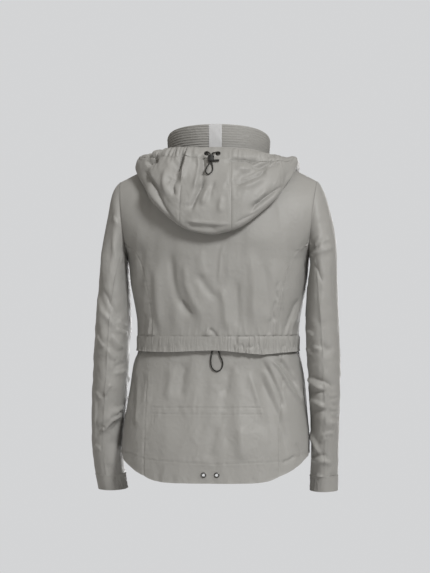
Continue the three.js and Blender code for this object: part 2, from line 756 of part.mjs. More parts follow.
// A smooth path through points, from 0 to 1.
function along(path, q) {
  const place = Math.min(0.99999, Math.max(0, q)) * (path.length - 1);
  const i = Math.floor(place);
  const t = place - i;
  const at = (j) => path[Math.min(path.length - 1, Math.max(0, j))];
  const [a, b, c, d] = [at(i - 1), at(i), at(i + 1), at(i + 2)];
  const mix = (k) => {
    const cubic = 3 * (b[k] - c[k]) + d[k] - a[k];
    const square = 2 * a[k] - 5 * b[k] + 4 * c[k] - d[k];
    return b[k] + 0.5 * t * (c[k] - a[k] + t * (square + t * cubic));
  };
  return point(mix("x"), mix("y"), mix("z"));
}

const hoodSections = new Map();
function hoodSection(turn) {
  if (hoodSections.has(turn)) return hoodSections.get(turn);
  const [t, hand] = [Math.abs(turn), Math.sign(turn) || 1];
  const at = (column) => read(hand > 0 ? HOOD_LEFT : HOOD_RIGHT, column, t);
  const face = t > HOOD_RIDGE ? -1 : 1;
  const [u, v] = findOnBody(hand * at("foldX"), at("foldZ"), face);
  const foldV = face > 0 ? v : 2 - v;
  const seamU = (hand * 0.5 * (t > 90 ? 180 - t : t)) / 90;
  const seamV = t > 90 ? 1.0001 : 0.9999;
  const onBody = (share, lift) => overBody(lerp(seamU, u, share), lerp(seamV, foldV, share), lift);
  const seam = collarPoint(turn, HOOD.seamUp);
  seam.addScaledVector(point(seam.x, seam.y - NECK.y, 0).normalize(), HOOD.seamOut);
  const [lift, thick, bulge] = [at("lift"), at("thick"), at("bulge")];
  const { upper: high, lower: low, rolled, lip } = HOOD_SHARES;
  const far = onBody(HOOD_SHARES.far, thick);
  const edge = point(hand * at("edgeX"), at("edgeY"), at("edgeZ"));
  const swell = far.clone().sub(onBody(HOOD_SHARES.far, 0)).normalize();
  const back = (share) =>
    far.clone().lerp(edge, share).addScaledVector(swell, 4 * bulge * share * (1 - share));
  const casing = Math.min(HOOD.casing / far.distanceTo(edge), 0.6);
  const path = [
    seam,
    onBody(high, lift),
    onBody(low, lift + 0.4),
    onBody(rolled, lift + 2),
    onBody(lip, lerp(lift, thick, 0.5)),
    far,
    back((1 - casing) / 2),
    back(1 - casing),
    edge,
  ];
  hoodSections.set(turn, path);
  return path;
}
const HOOD_GATHERS = { count: 46, depth: 1.3, plainTurn: 8 };
const hoodGather = (turn) => {
  const grown = smooth(Math.abs(turn - 1) / HOOD_GATHERS.plainTurn - 1.2);
  return HOOD_GATHERS.depth * grown * Math.cos((HOOD_GATHERS.count * Math.PI * turn) / HOOD.end);
};
const hoodRelief = (place, q) => {
  if (q < 0.55 || place.y < 30) return 0;
  return relief(HOOD_FOLDS, place.x, place.z) * smooth((q - 0.55) / 0.15) * (1 - smooth((q - 0.85) / 0.15));
};

function addHood() {
  const qs = [0, 0.12, 0.25, 0.36, 0.44, 0.5, 0.56, 0.64, 0.72, 0.8, 0.9, 1];
  const outer = [32, 40, 48, 56, 64, 71, 77, 82, 87, 92, 97, 103, 110, 119, 130, 145, 160];
  const panels = {
    hood_right: [...outer.map((t) => -t).reverse(), -23, -14],
    hood_centre: [-14, -8, -2, 4, 10, 17, 24],
    hood_left: [24, ...outer],
  };
  const body = (from, to, start, end) => (a, b) => along(hoodSection(lerp(from, to, a)), lerp(start, end, b));
  for (const [name, turns] of Object.entries(panels)) {
    const [from, to] = [turns[0], turns.at(-1)];
    add(
      name,
      cloth({
        surface: body(from, to, 0, HOOD.casingStart),
        columns: turns.map((t) => (t - from) / (to - from)),
        rows: qs,
        side: -1,
        height: (a, b, place) => hoodRelief(place, b * HOOD.casingStart),
      }),
      COLOURS.cloth,
    );
  }
  // The casing's seam follows the straight edges between the panels' columns.
  const knots = [...new Set(Object.values(panels).flat())];
  const casing = body(-HOOD.end, HOOD.end, HOOD.casingStart + 0.004, 1);
  const seamOf = (turn) => along(hoodSection(turn), HOOD.casingStart);
  const straight = (turn) => {
    const i = Math.min(knots.length - 2, Math.max(0, knots.findIndex((k) => k > turn) - 1));
    const [from, to] = turn >= HOOD.end ? knots.slice(-2) : [knots[i], knots[i + 1]];
    return seamOf(from).lerp(seamOf(to), (turn - from) / (to - from));
  };
  add(
    "hood_casing",
    cloth({
      surface: (a, b) => {
        const turn = lerp(-HOOD.end, HOOD.end, a);
        return casing(a, b).addScaledVector(straight(turn).sub(seamOf(turn)), 1 - b);
      },
      columns: 2 * HOOD_GATHERS.count,
      rows: 2,
      side: -1,
      height: (a, b, place) =>
        hoodRelief(place, lerp(HOOD.casingStart, 1, b)) + hoodGather(lerp(-HOOD.end, HOOD.end, a)),
    }),
    COLOURS.cloth,
  );
}

// Solids for cutting and joining.
const solidOf = (geometry) =>
  new wasm.Manifold(
    new wasm.Mesh({
      numProp: 3,
      vertProperties: geometry.getAttribute("position").array,
      triVerts: new Uint32Array(geometry.index.array),
    }),
  );
function geometryOf(solid) {
  const mesh = solid.getMesh();
  const geometry = new THREE.BufferGeometry();
  geometry.setAttribute("position", new THREE.BufferAttribute(mesh.vertProperties, 3));
  geometry.setIndex(new THREE.BufferAttribute(mesh.triVerts, 1));
  return geometry;
}
const joined = (...pieces) => pieces.map(solidOf).reduce((whole, piece) => whole.add(piece));

// Turns +Z to a direction and moves the origin to a place.
function setAt(geometry, place, direction) {
  const turn = new THREE.Quaternion().setFromUnitVectors(point(0, 0, 1), direction.clone().normalize());
  return geometry.applyQuaternion(turn).translate(place.x, place.y, place.z);
}

// Plain shapes: a profile of [radius, height] turned round Z, a rod along X or Z, and a block.
function turned(profile, segments) {
  const outline = profile.map(([r, h]) => new THREE.Vector2(r, h));
  return closed(new THREE.LatheGeometry(outline, segments).rotateX(90 * DEGREE));
}
const rodX = (length, radius) =>
  closed(new THREE.CylinderGeometry(radius, radius, length, ROUND).rotateZ(90 * DEGREE));
const rodZ = (length, radius) =>
  closed(new THREE.CylinderGeometry(radius, radius, length, ROUND).rotateX(90 * DEGREE));
const ROUND = 16; // sides of a round piece
function block(x0, x1, y0, y1, z0, z1) {
  const box = new THREE.BoxGeometry(x1 - x0, y1 - y0, z1 - z0);
  return closed(box.translate((x0 + x1) / 2, (y0 + y1) / 2, (z0 + z1) / 2));
}

// A round cord along a smooth path, with flat ends.
function cordBody(path, radius, rings) {
  const section = new THREE.Shape();
  const sides = 8;
  for (let i = 0; i < sides; i++) {
    const a = (2 * Math.PI * i) / sides;
    section[i ? "lineTo" : "moveTo"](radius * Math.cos(a), radius * Math.sin(a));
  }
  const extrudePath = new THREE.CatmullRomCurve3(path);
  return closed(new THREE.ExtrudeGeometry(section, { steps: rings, bevelEnabled: false, extrudePath }));
}

// An eyelet is a spool set in a hole, with a rim on each face of the cloth.
const EYELET = { bore: 2.7, barrel: 3.3, hole: 3.7, rim: 5.4, back: 4.8, gap: 0.4, inner: 1, plate: 0.8 };
function addEyelet(name, panel, place, normal, colour, finish) {
  const { bore, barrel, rim, back, gap, inner, plate } = EYELET;
  const inside = -CLOTH - inner;
  const profile = [
    [bore, gap + 0.5 * plate],
    [lerp(bore, rim, 0.4), gap + plate],
    [rim, gap],
    [barrel, gap],
    [barrel, inside],
    [back, inside],
    [back, inside - plate],
    [bore, inside - plate],
    [bore, gap + 0.5 * plate],
  ];
  const hole = setAt(rodZ(16, EYELET.hole), place, normal);
  const mesh = jacket.getObjectByName(panel);
  mesh.geometry = geometryOf(solidOf(mesh.geometry).subtract(solidOf(hole)));
  add(name, setAt(turned(profile, ROUND), place, normal), colour, finish);
}

const CORD = { radius: 1.25, waist: 1.3 };
const STOPPER = {
  x: 4.6,
  z: -22.6,
  height: 15,
  wide: 6, // half widths
  deep: 4.6,
  seatGap: 0.25,
  buttonDown: 4.4, // below the middle
  button: 1.9,
  buttonLength: 14,
  buttonIn: 3.6, // how deep the button reaches from the barrel's near side
  bore: 2.3,
  boreDepth: 7.5,
};

// The place on the hood's far layer that is seen at x, z, and the cloth's normal there.
function onHood(x, z) {
  const surface = (a, b) => along(hoodSection(lerp(-HOOD.end, HOOD.end, a)), b);
  const farLayer = [0.62, 0.99];
  let turn = x / HOOD.perTurn;
  let [low, high] = farLayer;
  let b = high;
  for (let i = 0; i < 30; i++) {
    b = (low + high) / 2;
    const place = surface((turn + HOOD.end) / 2 / HOOD.end, b);
    if (place.z < z) low = b;
    else high = b;
    if (i > 12) turn += (x - place.x) / HOOD.perTurn / 2;
  }
  const a = (turn + HOOD.end) / 2 / HOOD.end;
  const place = surface(a, b);
  const normal = normalOf(surface, a, b, -1);
  return [place.addScaledVector(normal, hoodRelief(place, b)), normal];
}

function addHoodTrim() {
  const surface = (a, b) => along(hoodSection(lerp(-HOOD.end, HOOD.end, a)), b);
  const onCasing = (turn) => {
    const a = (turn + HOOD.end) / 2 / HOOD.end;
    const [low, middle] = [HOOD.casingStart + 0.004, (HOOD.casingStart + 1.004) / 2];
    const place = surface(a, low).lerp(surface(a, middle), 0.5);
    return [place, normalOf(surface, a, lerp(low, middle, 0.5), -1)];
  };
  const black = { roughness: 0.4 };
  const eyelets = [["hood_eyelet_left", 6], ["hood_eyelet_right", -3.6]].map(([name, turn]) => {
    const [place, normal] = onCasing(turn);
    addEyelet(name, "hood_casing", place, normal, COLOURS.black, black);
    return [place, normal];
  });
  // The stopper lies on the slope of the hood. Its own Z axis runs up the slope.
  const { x, z, height, wide, deep, buttonDown } = STOPPER;
  const half = height / 2;
  const [seat, normal] = onHood(x, z);
  const lean = Math.atan2(normal.z, normal.y);
  const centre = seat.clone().addScaledVector(normal, deep + STOPPER.seatGap);
  centre.x = x;
  const placed = (dx, dy, dz) => point(dx, dy, dz).applyAxisAngle(point(1, 0, 0), lean).add(centre);
  const put = (geometry) => solidOf(geometry.rotateX(lean).translate(centre.x, centre.y, centre.z));
  const outline = [[0, -1], [0.45, -1], [0.8, -0.93], [1, -0.7], [1, 0.7], [0.8, 0.93], [0.45, 1], [0, 1]];
  const barrel = turned(outline.map(([r, h]) => [r, h * half]), ROUND).scale(wide, deep, 1);
  const boreEnd = STOPPER.boreDepth - wide;
  const bore = rodX(STOPPER.boreDepth + 1, STOPPER.bore);
  const boreMiddle = boreEnd - (STOPPER.boreDepth + 1) / 2;
  const shell = put(barrel).subtract(put(bore.translate(boreMiddle, 0, -buttonDown)));
  add("cord_stop_barrel", geometryOf(shell), COLOURS.black, black);
  const button = rodX(STOPPER.buttonLength, STOPPER.button);
  const buttonMiddle = STOPPER.buttonIn - wide - STOPPER.buttonLength / 2;
  const pressed = put(button.translate(buttonMiddle, 0, -buttonDown));
  add("cord_stop_button", geometryOf(pressed), COLOURS.black, black);
  for (const [i, label, side] of [[0, "left", 1], [1, "right", -1]]) {
    const [place, out] = eyelets[i];
    const path = [
      place.clone().addScaledVector(out, 0.5),
      place.clone().addScaledVector(out, 5),
      placed(3 * side, 1, half + 4),
      placed(2 * side, 0, half + 0.5),
    ];
    add(`hood_cord_${label}`, cordBody(path, CORD.radius, 8), COLOURS.black, { roughness: 0.8 });
  }
  const below = -half - 0.5;
  const onSlope = [[12.5, -40], [14, -47], [8.5, -52.5], [1.5, -47], [0.6, -39.5]];
  const rest = onSlope.map(([lx, lz]) => {
    const [place, out] = onHood(lx, lz);
    return place.addScaledVector(out, CORD.radius + 1).setX(lx);
  });
  const start = [placed(2, 0, below), placed(2.6, -0.6, below - 3)];
  const loop = [...start, ...rest, placed(-2.6, -0.6, below - 3), placed(-2, 0, below)];
  add("hood_cord_loop", cordBody(loop, CORD.radius, 20), COLOURS.black, { roughness: 0.8 });
}

// One elastic loop hangs out from under the yoke's edge.
function addWaistLoop() {
  const loop = [
    [3.7, -391],
    [4, -398],
    [6.2, -412],
    [4, -427],
    [-5, -434],
    [-14.5, -429],
    [-17, -417],
    [-12.5, -405],
    [-9.6, -397],
    [-9.2, -391],
  ].map(([x, z]) => {
    const place = lowerPoint(turnOfX(Math.abs(x), z) * Math.sign(x), z);
    return point(x, place.y + lerp(2.2, 3.2, smooth((-396 - z) / 12)), z);
  });
  add("waist_cord_loop", cordBody(loop, CORD.waist, 24), COLOURS.black, { roughness: 0.8 });
}

function addHemEyelets() {
  const z = -634.5;
  const steel = { roughness: 0.35, metalness: 0.8 };
  for (const [name, x] of [["hem_eyelet_left", 18.2], ["hem_eyelet_right", -7.4]]) {
    const turn = turnOfX(Math.abs(x - read(TORSO, "shift", z)), z) * Math.sign(x - read(TORSO, "shift", z));
    const across = lowerPoint(turn + 0.5, z).sub(lowerPoint(turn - 0.5, z));
    const up = lowerPoint(turn, z + 2).sub(lowerPoint(turn, z - 2));
    addEyelet(name, "back_centre", lowerPoint(turn, z), up.cross(across), COLOURS.metal, steel);
  }
}

// The zip closes the fronts and the collar. Its line runs up the centre from the hem to the collar's top.
function centreFront(h) {
  if (h <= 1) return point(0, ring(180, lerp(hemZ(180), ARMPIT_Z, h)).y, lerp(hemZ(180), ARMPIT_Z, h));
  if (h <= 2) return upper(0, h - 1, -1);
  return collarPoint(180, lerp(COLLAR.foot, 1, h - 2));
}
const ZIP = {
  tapeFrom: 3.4,
  tapeTo: 12,
  tapeThick: 0.7,
  chainHalf: 3,
  chainThick: 2.2,
  chainOut: 0.5,
  chainTop: 2.8,
  levels: [0, 0.15, 0.3, 0.45, 0.6, 0.75, 0.9, 1, 1.15, 1.3, 1.45, 1.6, 1.75, 1.88, 2, 2.15],
};

function addZip() {
  const strip = (name, from, to, start, end, offset, inCollar, thick, colour, finish) => {
    const between = ZIP.levels.filter((h) => h > start && h < end);
    const surface = (a, b) => {
      const h = lerp(start, end, b);
      const d = 1e-3;
      const slope = centreFront(Math.min(3, h + d)).sub(centreFront(Math.max(0, h - d)));
      const normal = point(0, -slope.z, slope.y).normalize();
      const x = lerp(from, to, a);
      const bow = NECK.depth * (1 - Math.sqrt(1 - (x / NECK.half) ** 2)) * smooth(h - 1);
      const place = centreFront(h).addScaledVector(normal, offset - (h > 1.9 ? inCollar : 0));
      return place.add(point(x, bow, 0));
    };
    const rows = [start, ...between, end].map((h) => (h - start) / (end - start));
    add(name, cloth({ surface, columns: 1, rows, side: 1, thick, pull: false }), colour, finish);
  };
  const tape = -CLOTH - 0.4;
  const step = COLLAR.thick - CLOTH + 0.7;
  strip("zip_tape_left", ZIP.tapeFrom, ZIP.tapeTo, 0.015, 2.98, tape, step, ZIP.tapeThick, COLOURS.cloth);
  strip("zip_tape_right", -ZIP.tapeTo, -ZIP.tapeFrom, 0.015, 2.98, tape, step, ZIP.tapeThick, COLOURS.cloth);
  const teeth = [ZIP.chainOut, 0, ZIP.chainThick, COLOURS.metal, { metalness: 0.6 }];
  strip("zip_chain", -ZIP.chainHalf, ZIP.chainHalf, 0.015, ZIP.chainTop, ...teeth);
}

// The slider holds the chain's top end between two plates. Its tab hangs on a pin.
const SLIDER = {
  half: 4,
  rearHalf: 3.1,
  bridgeHalf: 1.6,
  length: 11,
  below: 6, // how far it reaches below the chain's end
  plate: 1.1,
  gap: 0.35,
  chainRoom: 0.6,
  pin: 0.9,
  pinOut: 2.9,
  pinUp: 0.62, // share of the slider's length
  eye: 2.4,
  hole: 1.35,
  lug: 1.1,
  lugHalf: 1.6,
};
const TAB = { length: 21, half: 2.4, thick: 1.3, eyeHalf: 1.5, neck: 7 };

function addSlider() {
  const chainEnd = centreFront(ZIP.chainTop);
  const face = chainEnd.y - ZIP.chainOut - SLIDER.gap;
  const rear = chainEnd.y - ZIP.chainOut + ZIP.chainThick + SLIDER.gap + SLIDER.chainRoom;
  const low = chainEnd.z - SLIDER.below;
  const high = low + SLIDER.length;
  const pinY = face - SLIDER.plate - SLIDER.pinOut;
  const pinZ = low + SLIDER.length * SLIDER.pinUp;
  const lugOutY = pinY - SLIDER.lugHalf;
  const lugInY = face - SLIDER.plate + 0.2;
  const lug = (x0) =>
    block(x0, x0 + SLIDER.lug, lugOutY, lugInY, pinZ - SLIDER.lugHalf - 0.4, pinZ + SLIDER.lugHalf + 0.4);
  const gapX = TAB.eyeHalf + 0.4;
  const onPin = (geometry) => geometry.translate(0, pinY, pinZ);
  const slider = joined(
    block(-SLIDER.half, SLIDER.half, face - SLIDER.plate, face, low, high),
    block(-SLIDER.rearHalf, SLIDER.rearHalf, rear, rear + SLIDER.plate, low, high),
    block(-SLIDER.bridgeHalf, SLIDER.bridgeHalf, face - 0.1, rear + 0.1, chainEnd.z + 0.6, high),
    lug(gapX),
    lug(-gapX - SLIDER.lug),
    onPin(rodX(2 * gapX + 0.4, SLIDER.pin)),
  );
  const steel = { roughness: 0.35, metalness: 0.8 };
  add("zip_slider", geometryOf(slider), COLOURS.metal, steel);
  const [tabFront, tabBack] = [pinY - TAB.thick / 2, pinY + TAB.thick / 2];
  const tab = joined(
    onPin(rodX(2 * TAB.eyeHalf, SLIDER.eye)),
    block(-TAB.eyeHalf, TAB.eyeHalf, tabFront, tabBack, pinZ - TAB.neck, pinZ),
    block(-TAB.half, TAB.half, tabFront, tabBack, pinZ - TAB.length, pinZ - TAB.neck + 2),
  ).subtract(solidOf(onPin(rodX(8, SLIDER.hole))));
  add("zip_pull", geometryOf(tab), COLOURS.metal, steel);
}

addYoke();
addYokeCasing();
addLowerBack();
addFronts();
addCollar();
addSleeve("left", 1, LEFT_SLEEVE);
addSleeve("right", -1, RIGHT_SLEEVE);
addHood();
addHoodTrim();
addWaistLoop();
addHemEyelets();
addZip();
addSlider();

export default jacket;
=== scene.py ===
"""Hooded jacket in light woven cloth, shown closed and filled out as if worn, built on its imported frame.

Metres for everything in Blender. The sewing pattern's own sizes are in millimetres and are turned into
metres where a mesh is made. The front faces -Y, and the wearer's left is +X."""
import math

import bpy
import numpy as np
from mathutils import Matrix, Vector


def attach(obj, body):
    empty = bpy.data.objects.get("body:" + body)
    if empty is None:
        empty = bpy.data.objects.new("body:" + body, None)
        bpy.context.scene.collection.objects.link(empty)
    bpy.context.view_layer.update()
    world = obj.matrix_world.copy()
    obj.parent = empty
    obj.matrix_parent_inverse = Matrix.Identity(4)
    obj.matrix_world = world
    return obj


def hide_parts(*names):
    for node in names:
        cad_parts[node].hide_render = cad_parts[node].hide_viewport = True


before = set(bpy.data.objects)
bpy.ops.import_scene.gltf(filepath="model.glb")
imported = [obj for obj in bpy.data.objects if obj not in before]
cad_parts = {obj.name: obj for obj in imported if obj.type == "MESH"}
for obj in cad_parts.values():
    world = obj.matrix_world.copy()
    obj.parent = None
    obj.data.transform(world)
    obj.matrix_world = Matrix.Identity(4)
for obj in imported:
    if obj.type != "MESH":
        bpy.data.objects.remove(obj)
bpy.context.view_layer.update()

bl_info = {
    "name": "Hooded jacket",
    "version": (1, 0, 0),
    "blender": (4, 5, 0),
    "location": "3D View > Sidebar > Jacket",
    "description": "Dresses the frame of a hooded jacket in cloth, cords, trim and sewing",
    "category": "Object",
}

MM = 0.001
DEGREE = math.pi / 180
GARMENT = "garment"

# The garment's driving sizes, in millimetres.
SIDE_Y = -4  # the side seams and the shoulder ends lie in this plane
SQUARENESS = 2.3  # 2 would make each body ring an ellipse
ARMPIT_Z = -206
NECK = {"half": 100, "depth": 80, "y": -8, "level": -29.75, "tilt": 37.5, "dip": -7.75}
NECK_SHARE = 0.5
SHOULDER = {"x": 197, "z": -60, "bow": 3}
ARMHOLE = {"x": 181, "back": 62, "front": 60}
COLLAR = {"height": 50, "side_drop": 5, "foot": 0.016, "spread": 3, "rib": 5, "puff": 0.75}
TAPE = {"half_turn": 7.2, "out": 1.35, "foot": 0.02, "top": 0.985}
HEM = {"side": -600, "back_drop": 51, "front_drop": 24, "sharpness": 6.6}
YOKE = {"casing_top": -366, "edge": -396, "tuck_top": -372, "tuck_start": -412, "tuck": 3.6}
LOWER_SEAM_X = 133
FRONT_EDGE_X = 5.2
SLEEVE = {"cuff_top": 505, "end": 535, "front_seam": 222}
HOOD = {"casing": 23, "casing_start": 0.875, "end": 160, "seam_up": 0.09, "seam_out": 3.4, "per_turn": 2.3}
HOOD_SHARES = {"upper": 0.4, "lower": 0.75, "rolled": 0.96, "lip": 1.03, "far": 0.94}
HOOD_RIDGE = 87
HOOD_SEAMS = (-14, 24)


def table(names, *rows):
    """Named columns of numbers. The first column is the one that a value is looked up by."""
    made = {name: np.array([row[i] for row in rows], float) for i, name in enumerate(names)}
    made["key"] = made[names[0]]
    return made


def read(rows, column, at):
    """The value of a column, on a smooth curve through the rows."""
    x, y = rows["key"], rows[column]
    last = len(x) - 1
    at = np.clip(at, x[0], x[-1])
    i = np.clip(np.searchsorted(x, at) - 1, 0, last - 1)
    below = np.maximum(np.arange(last + 1) - 1, 0)
    above = np.minimum(np.arange(last + 1) + 1, last)
    slopes = (y[above] - y[below]) / (x[above] - x[below])
    step = x[i + 1] - x[i]
    s = (at - x[i]) / step
    p, q = s * s * (3 - 2 * s), s * (1 - s)
    return y[i] * (1 - p) + y[i + 1] * p + q * step * (slopes[i] * (1 - s) - slopes[i + 1] * s)


def lerp(a, b, t):
    return a + (b - a) * t


def smooth(t):
    s = np.clip(t, 0, 1)
    return s * s * (3 - 2 * s)


def power(value, p):
    return np.sign(value) * np.abs(value) ** p


def bell(distance, width):
    return np.exp(-((distance / width) ** 2))


def place(x, y, z):
    return np.stack(np.broadcast_arrays(x, y, z), -1).astype(float)


def unit(vectors):
    return vectors / np.maximum(np.linalg.norm(vectors, axis=-1, keepdims=True), 1e-9)


TORSO = table(
    ("z", "shift", "half", "front", "back", "yoke"),
    (-660, 6, 189, 122, 132, 112),
    (-600, 6, 188, 121, 130, 112),
    (-560, 5, 186, 119, 126, 112),
    (-516, 4, 181, 116, 118, 112),
    (-460, 2, 174, 111, 107, 112),
    (-424, 2, 168, 109, 103.5, 112),
    (-396, 1, 161, 109, 105.5, 112.5),
    (-372, 1, 161, 110, 111.1, 114),
    (-330, 0, 163.5, 115, 114, 117.5),
    (-264, 0, 175, 126, 119, 121.5),
    (-206, 0, 181, 125, 123, 123),
)
CENTRE_BACK = table(
    ("v", "y", "z"), (0, 119, -206), (0.25, 120, -158), (0.5, 114, -106), (0.75, 98, -52), (1, 72, 0)
)
CENTRE_FRONT = table(
    ("v", "y", "z"), (0, -129, -206), (0.3, -127, -168), (0.6, -116, -128), (0.85, -98, -92), (1, -88, -75)
)


def ring(turn, z, column="yoke", tuck=0.0):
    """The body below the armpits. turn is 0 at the centre back and 90 at the wearer's left."""
    s, c = np.sin(turn * DEGREE), np.cos(turn * DEGREE)
    depth = np.where(c > 0, read(TORSO, column, z), read(TORSO, "front", z))
    half = read(TORSO, "half", z) - tuck
    x = read(TORSO, "shift", z) + half * power(s, 2 / SQUARENESS)
    return place(x, SIDE_Y + depth * power(c, 2 / SQUARENESS), z)


def hem_z(turn):
    drop = np.where(np.cos(turn * DEGREE) > 0, HEM["back_drop"], HEM["front_drop"])
    return HEM["side"] - drop * (1 - np.abs(np.sin(turn * DEGREE)) ** HEM["sharpness"])


def neck(turn):
    """The collar seam."""
    s, c = np.sin(turn * DEGREE), np.cos(turn * DEGREE)
    height = NECK["level"] + NECK["tilt"] * c + NECK["dip"] * np.cos(2 * turn * DEGREE)
    return place(NECK["half"] * s, NECK["y"] + NECK["depth"] * c, height)


def armhole(round_):
    """The left armhole. round_ is 0 at the shoulder, 90 at the back and 180 at the armpit."""
    up = (1 + np.cos(round_ * DEGREE)) / 2
    sine = np.sin(round_ * DEGREE)
    reach = np.where(sine > 0, ARMHOLE["back"], ARMHOLE["front"])
    return place(
        lerp(ARMHOLE["x"], SHOULDER["x"], up), SIDE_Y + reach * sine, lerp(ARMPIT_Z, SHOULDER["z"], up)
    )


def top_edge(s, face):
    """The top edge of a back (face 1) or front (face -1): the collar seam, then the shoulder seam."""
    turn = 90 * np.clip(s / NECK_SHARE, 0, 1)
    on_neck = neck(np.where(face > 0, turn, 180 - turn))
    share = np.clip((s - NECK_SHARE) / (1 - NECK_SHARE), 0, 1)
    start, end = neck(90.0), armhole(0.0)
    on_shoulder = start + (end - start) * share[..., None]
    on_shoulder[..., 2] += SHOULDER["bow"] * np.sin(np.pi * share)
    return np.where((s <= NECK_SHARE)[..., None], on_neck, on_shoulder)


def upper(u, v, face):
    """The body above the armpits: u from -1 to 1 between the armholes, v from 0 to 1 at the top edge."""
    u, v, face = np.broadcast_arrays(*(np.asarray(value, float) for value in (u, v, face)))
    s = np.abs(u)
    centre_y = np.where(face > 0, read(CENTRE_BACK, "y", v), read(CENTRE_FRONT, "y", v))
    centre_z = np.where(face > 0, read(CENTRE_BACK, "z", v), read(CENTRE_FRONT, "z", v))
    side = armhole(face * (180 - 180 * v))
    top, middle, end = (top_edge(share, face) for share in (s, np.zeros_like(s), np.ones_like(s)))
    share = (middle - top) / np.where(np.abs(middle - end) < 1e-9, 1, middle - end)
    ring_x = np.sin(90 * s * DEGREE) ** (2 / SQUARENESS)
    ring_y = 1 - np.clip(np.cos(90 * s * DEGREE), 0, 1) ** (2 / SQUARENESS)
    blend = np.clip(v, 0, None) ** 1.6
    x = side[..., 0] * lerp(ring_x, top[..., 0] / end[..., 0], blend)
    y = lerp(centre_y, side[..., 1], lerp(ring_y, share[..., 1], blend))
    z = lerp(centre_z, side[..., 2], lerp(s * s, share[..., 2], blend))
    return place(np.where(u < 0, -x, x), y, z)


BACK_SEAM = table(
    ("z", "share"), (-396, 0.52), (-310, 0.525), (-250, 0.55), (-206, 0.635), (-190, 0.74), (-178, 0.89)
)
SEAM_BEND = 1.19
SEAM_TOP = 1.32


def seam_share(h):
    z = np.where(h <= 1, lerp(YOKE["casing_top"], ARMPIT_Z, h), lerp(ARMPIT_Z, SHOULDER["z"], h - 1))
    return read(BACK_SEAM, "share", z)


def eased(at, h):
    """A surface at levels h, with the bend at the level of the armpits eased."""
    reach = 0.07 * bell(h - 1, 0.14)
    return (at(h - reach) + at(h + reach) + at(h - reach / 2) + at(h + reach / 2)) / 4


def yoke_point(share, h):
    """h is 0 at the casing, 1 at the armpits and 2 at the top."""
    def at(level):
        low = ring(90 * share, lerp(YOKE["casing_top"], ARMPIT_Z, np.minimum(level, 1)))
        return np.where((level <= 1)[..., None], low, upper(share, np.clip(level - 1, 0, 1), 1))

    return eased(at, h)


def yoke_centre_point(a, b):
    h = 2 * b
    slant = lerp(seam_share(np.array(SEAM_BEND)), 1, np.clip((h - SEAM_BEND) / (SEAM_TOP - SEAM_BEND), 0, 1))
    limit = np.where(h < SEAM_BEND, seam_share(h), slant)
    return yoke_point(limit * (2 * a - 1), h)


def yoke_side_point(hand):
    def point(a, b):
        h = SEAM_BEND * b
        rise = (SEAM_TOP - SEAM_BEND) * np.clip((h - 1) / (SEAM_BEND - 1), 0, None)
        return yoke_point(hand * lerp(seam_share(h), 1, a), h + a * rise)

    return point


def lower_point(turn, z):
    """The lower back tucks in behind the casing."""
    tuck = YOKE["tuck"] * smooth((z - YOKE["tuck_start"]) / (YOKE["edge"] - YOKE["tuck_start"]))
    return ring(turn, z, "back", tuck)


def turn_of_x(x, z):
    share = np.clip(np.abs(x) / read(TORSO, "half", z), 0, 1)
    return np.sign(x) * np.arcsin(share ** (SQUARENESS / 2)) / DEGREE


def lower_panel(turn_at):
    def point(a, b):
        z = lerp(hem_z(turn_at(a, YOKE["edge"])), YOKE["tuck_top"], b)
        return lower_point(turn_at(a, z), z)

    return point


def front_point(hand):
    """a is 0 at the zip and 1 at the side, b is 0 at the hem and 1 at the top."""

    def point(a, b):
        turn = 180 - 90 * a

        def at(h):
            low = ring(hand * turn, lerp(hem_z(turn), ARMPIT_Z, np.minimum(h, 1)))
            return np.where((h <= 1)[..., None], low, upper(hand * a, np.clip(h - 1, 0, 1), -1))

        made = eased(at, 2 * b)
        made[..., 0] = np.where(a <= 0, hand * FRONT_EDGE_X, made[..., 0])
        return made

    return point


def collar_point(turn, up):
    foot = neck(turn)
    spread = 1 + COLLAR["spread"] * up / NECK["half"]
    height = COLLAR["height"] - COLLAR["side_drop"] * np.sin(turn * DEGREE) ** 2
    y = NECK["y"] + (foot[..., 1] - NECK["y"]) * spread
    return place(foot[..., 0] * spread, y, foot[..., 2] + height * up)


COLLAR_END = 180 - math.asin(FRONT_EDGE_X / NECK["half"]) / DEGREE

SLEEVE_NAMES = ("down", "inner_x", "inner_z", "outer_x", "outer_z", "y", "depth")
LEFT_SLEEVE = table(
    SLEEVE_NAMES,
    (0, 181, -206, 197, -60, -4, 61),
    (8, 182.6, -212, 204, -67, -4, 63),
    (20, 183.4, -219, 211.5, -82, -4, 65),
    (36, 183.6, -227, 217.5, -108, -4, 67),
    (56, 183, -237, 223, -144, -3, 69),
    (80, 182, -249, 229, -188, -3, 70),
    (108, 181, -265, 235.5, -232, -2, 70),
    (146, 179, -290, 240, -285, -1, 68),
    (190, 178, -332, 244.5, -332, 1, 65),
    (230, 179, -372, 247, -372, 3, 63),
    (270, 181, -412, 249, -412, 3, 62),
    (320, 184.5, -462, 252, -462, -1, 61),
    (370, 189, -510, 254.5, -510, -9, 58),
    (415, 194.5, -555, 256.5, -555, -18, 55),
    (455, 197.5, -595, 257, -595, -27, 52),
    (495, 195.5, -636, 253, -636, -36, 48),
    (535, 190, -678, 247, -678, -44, 46),
)
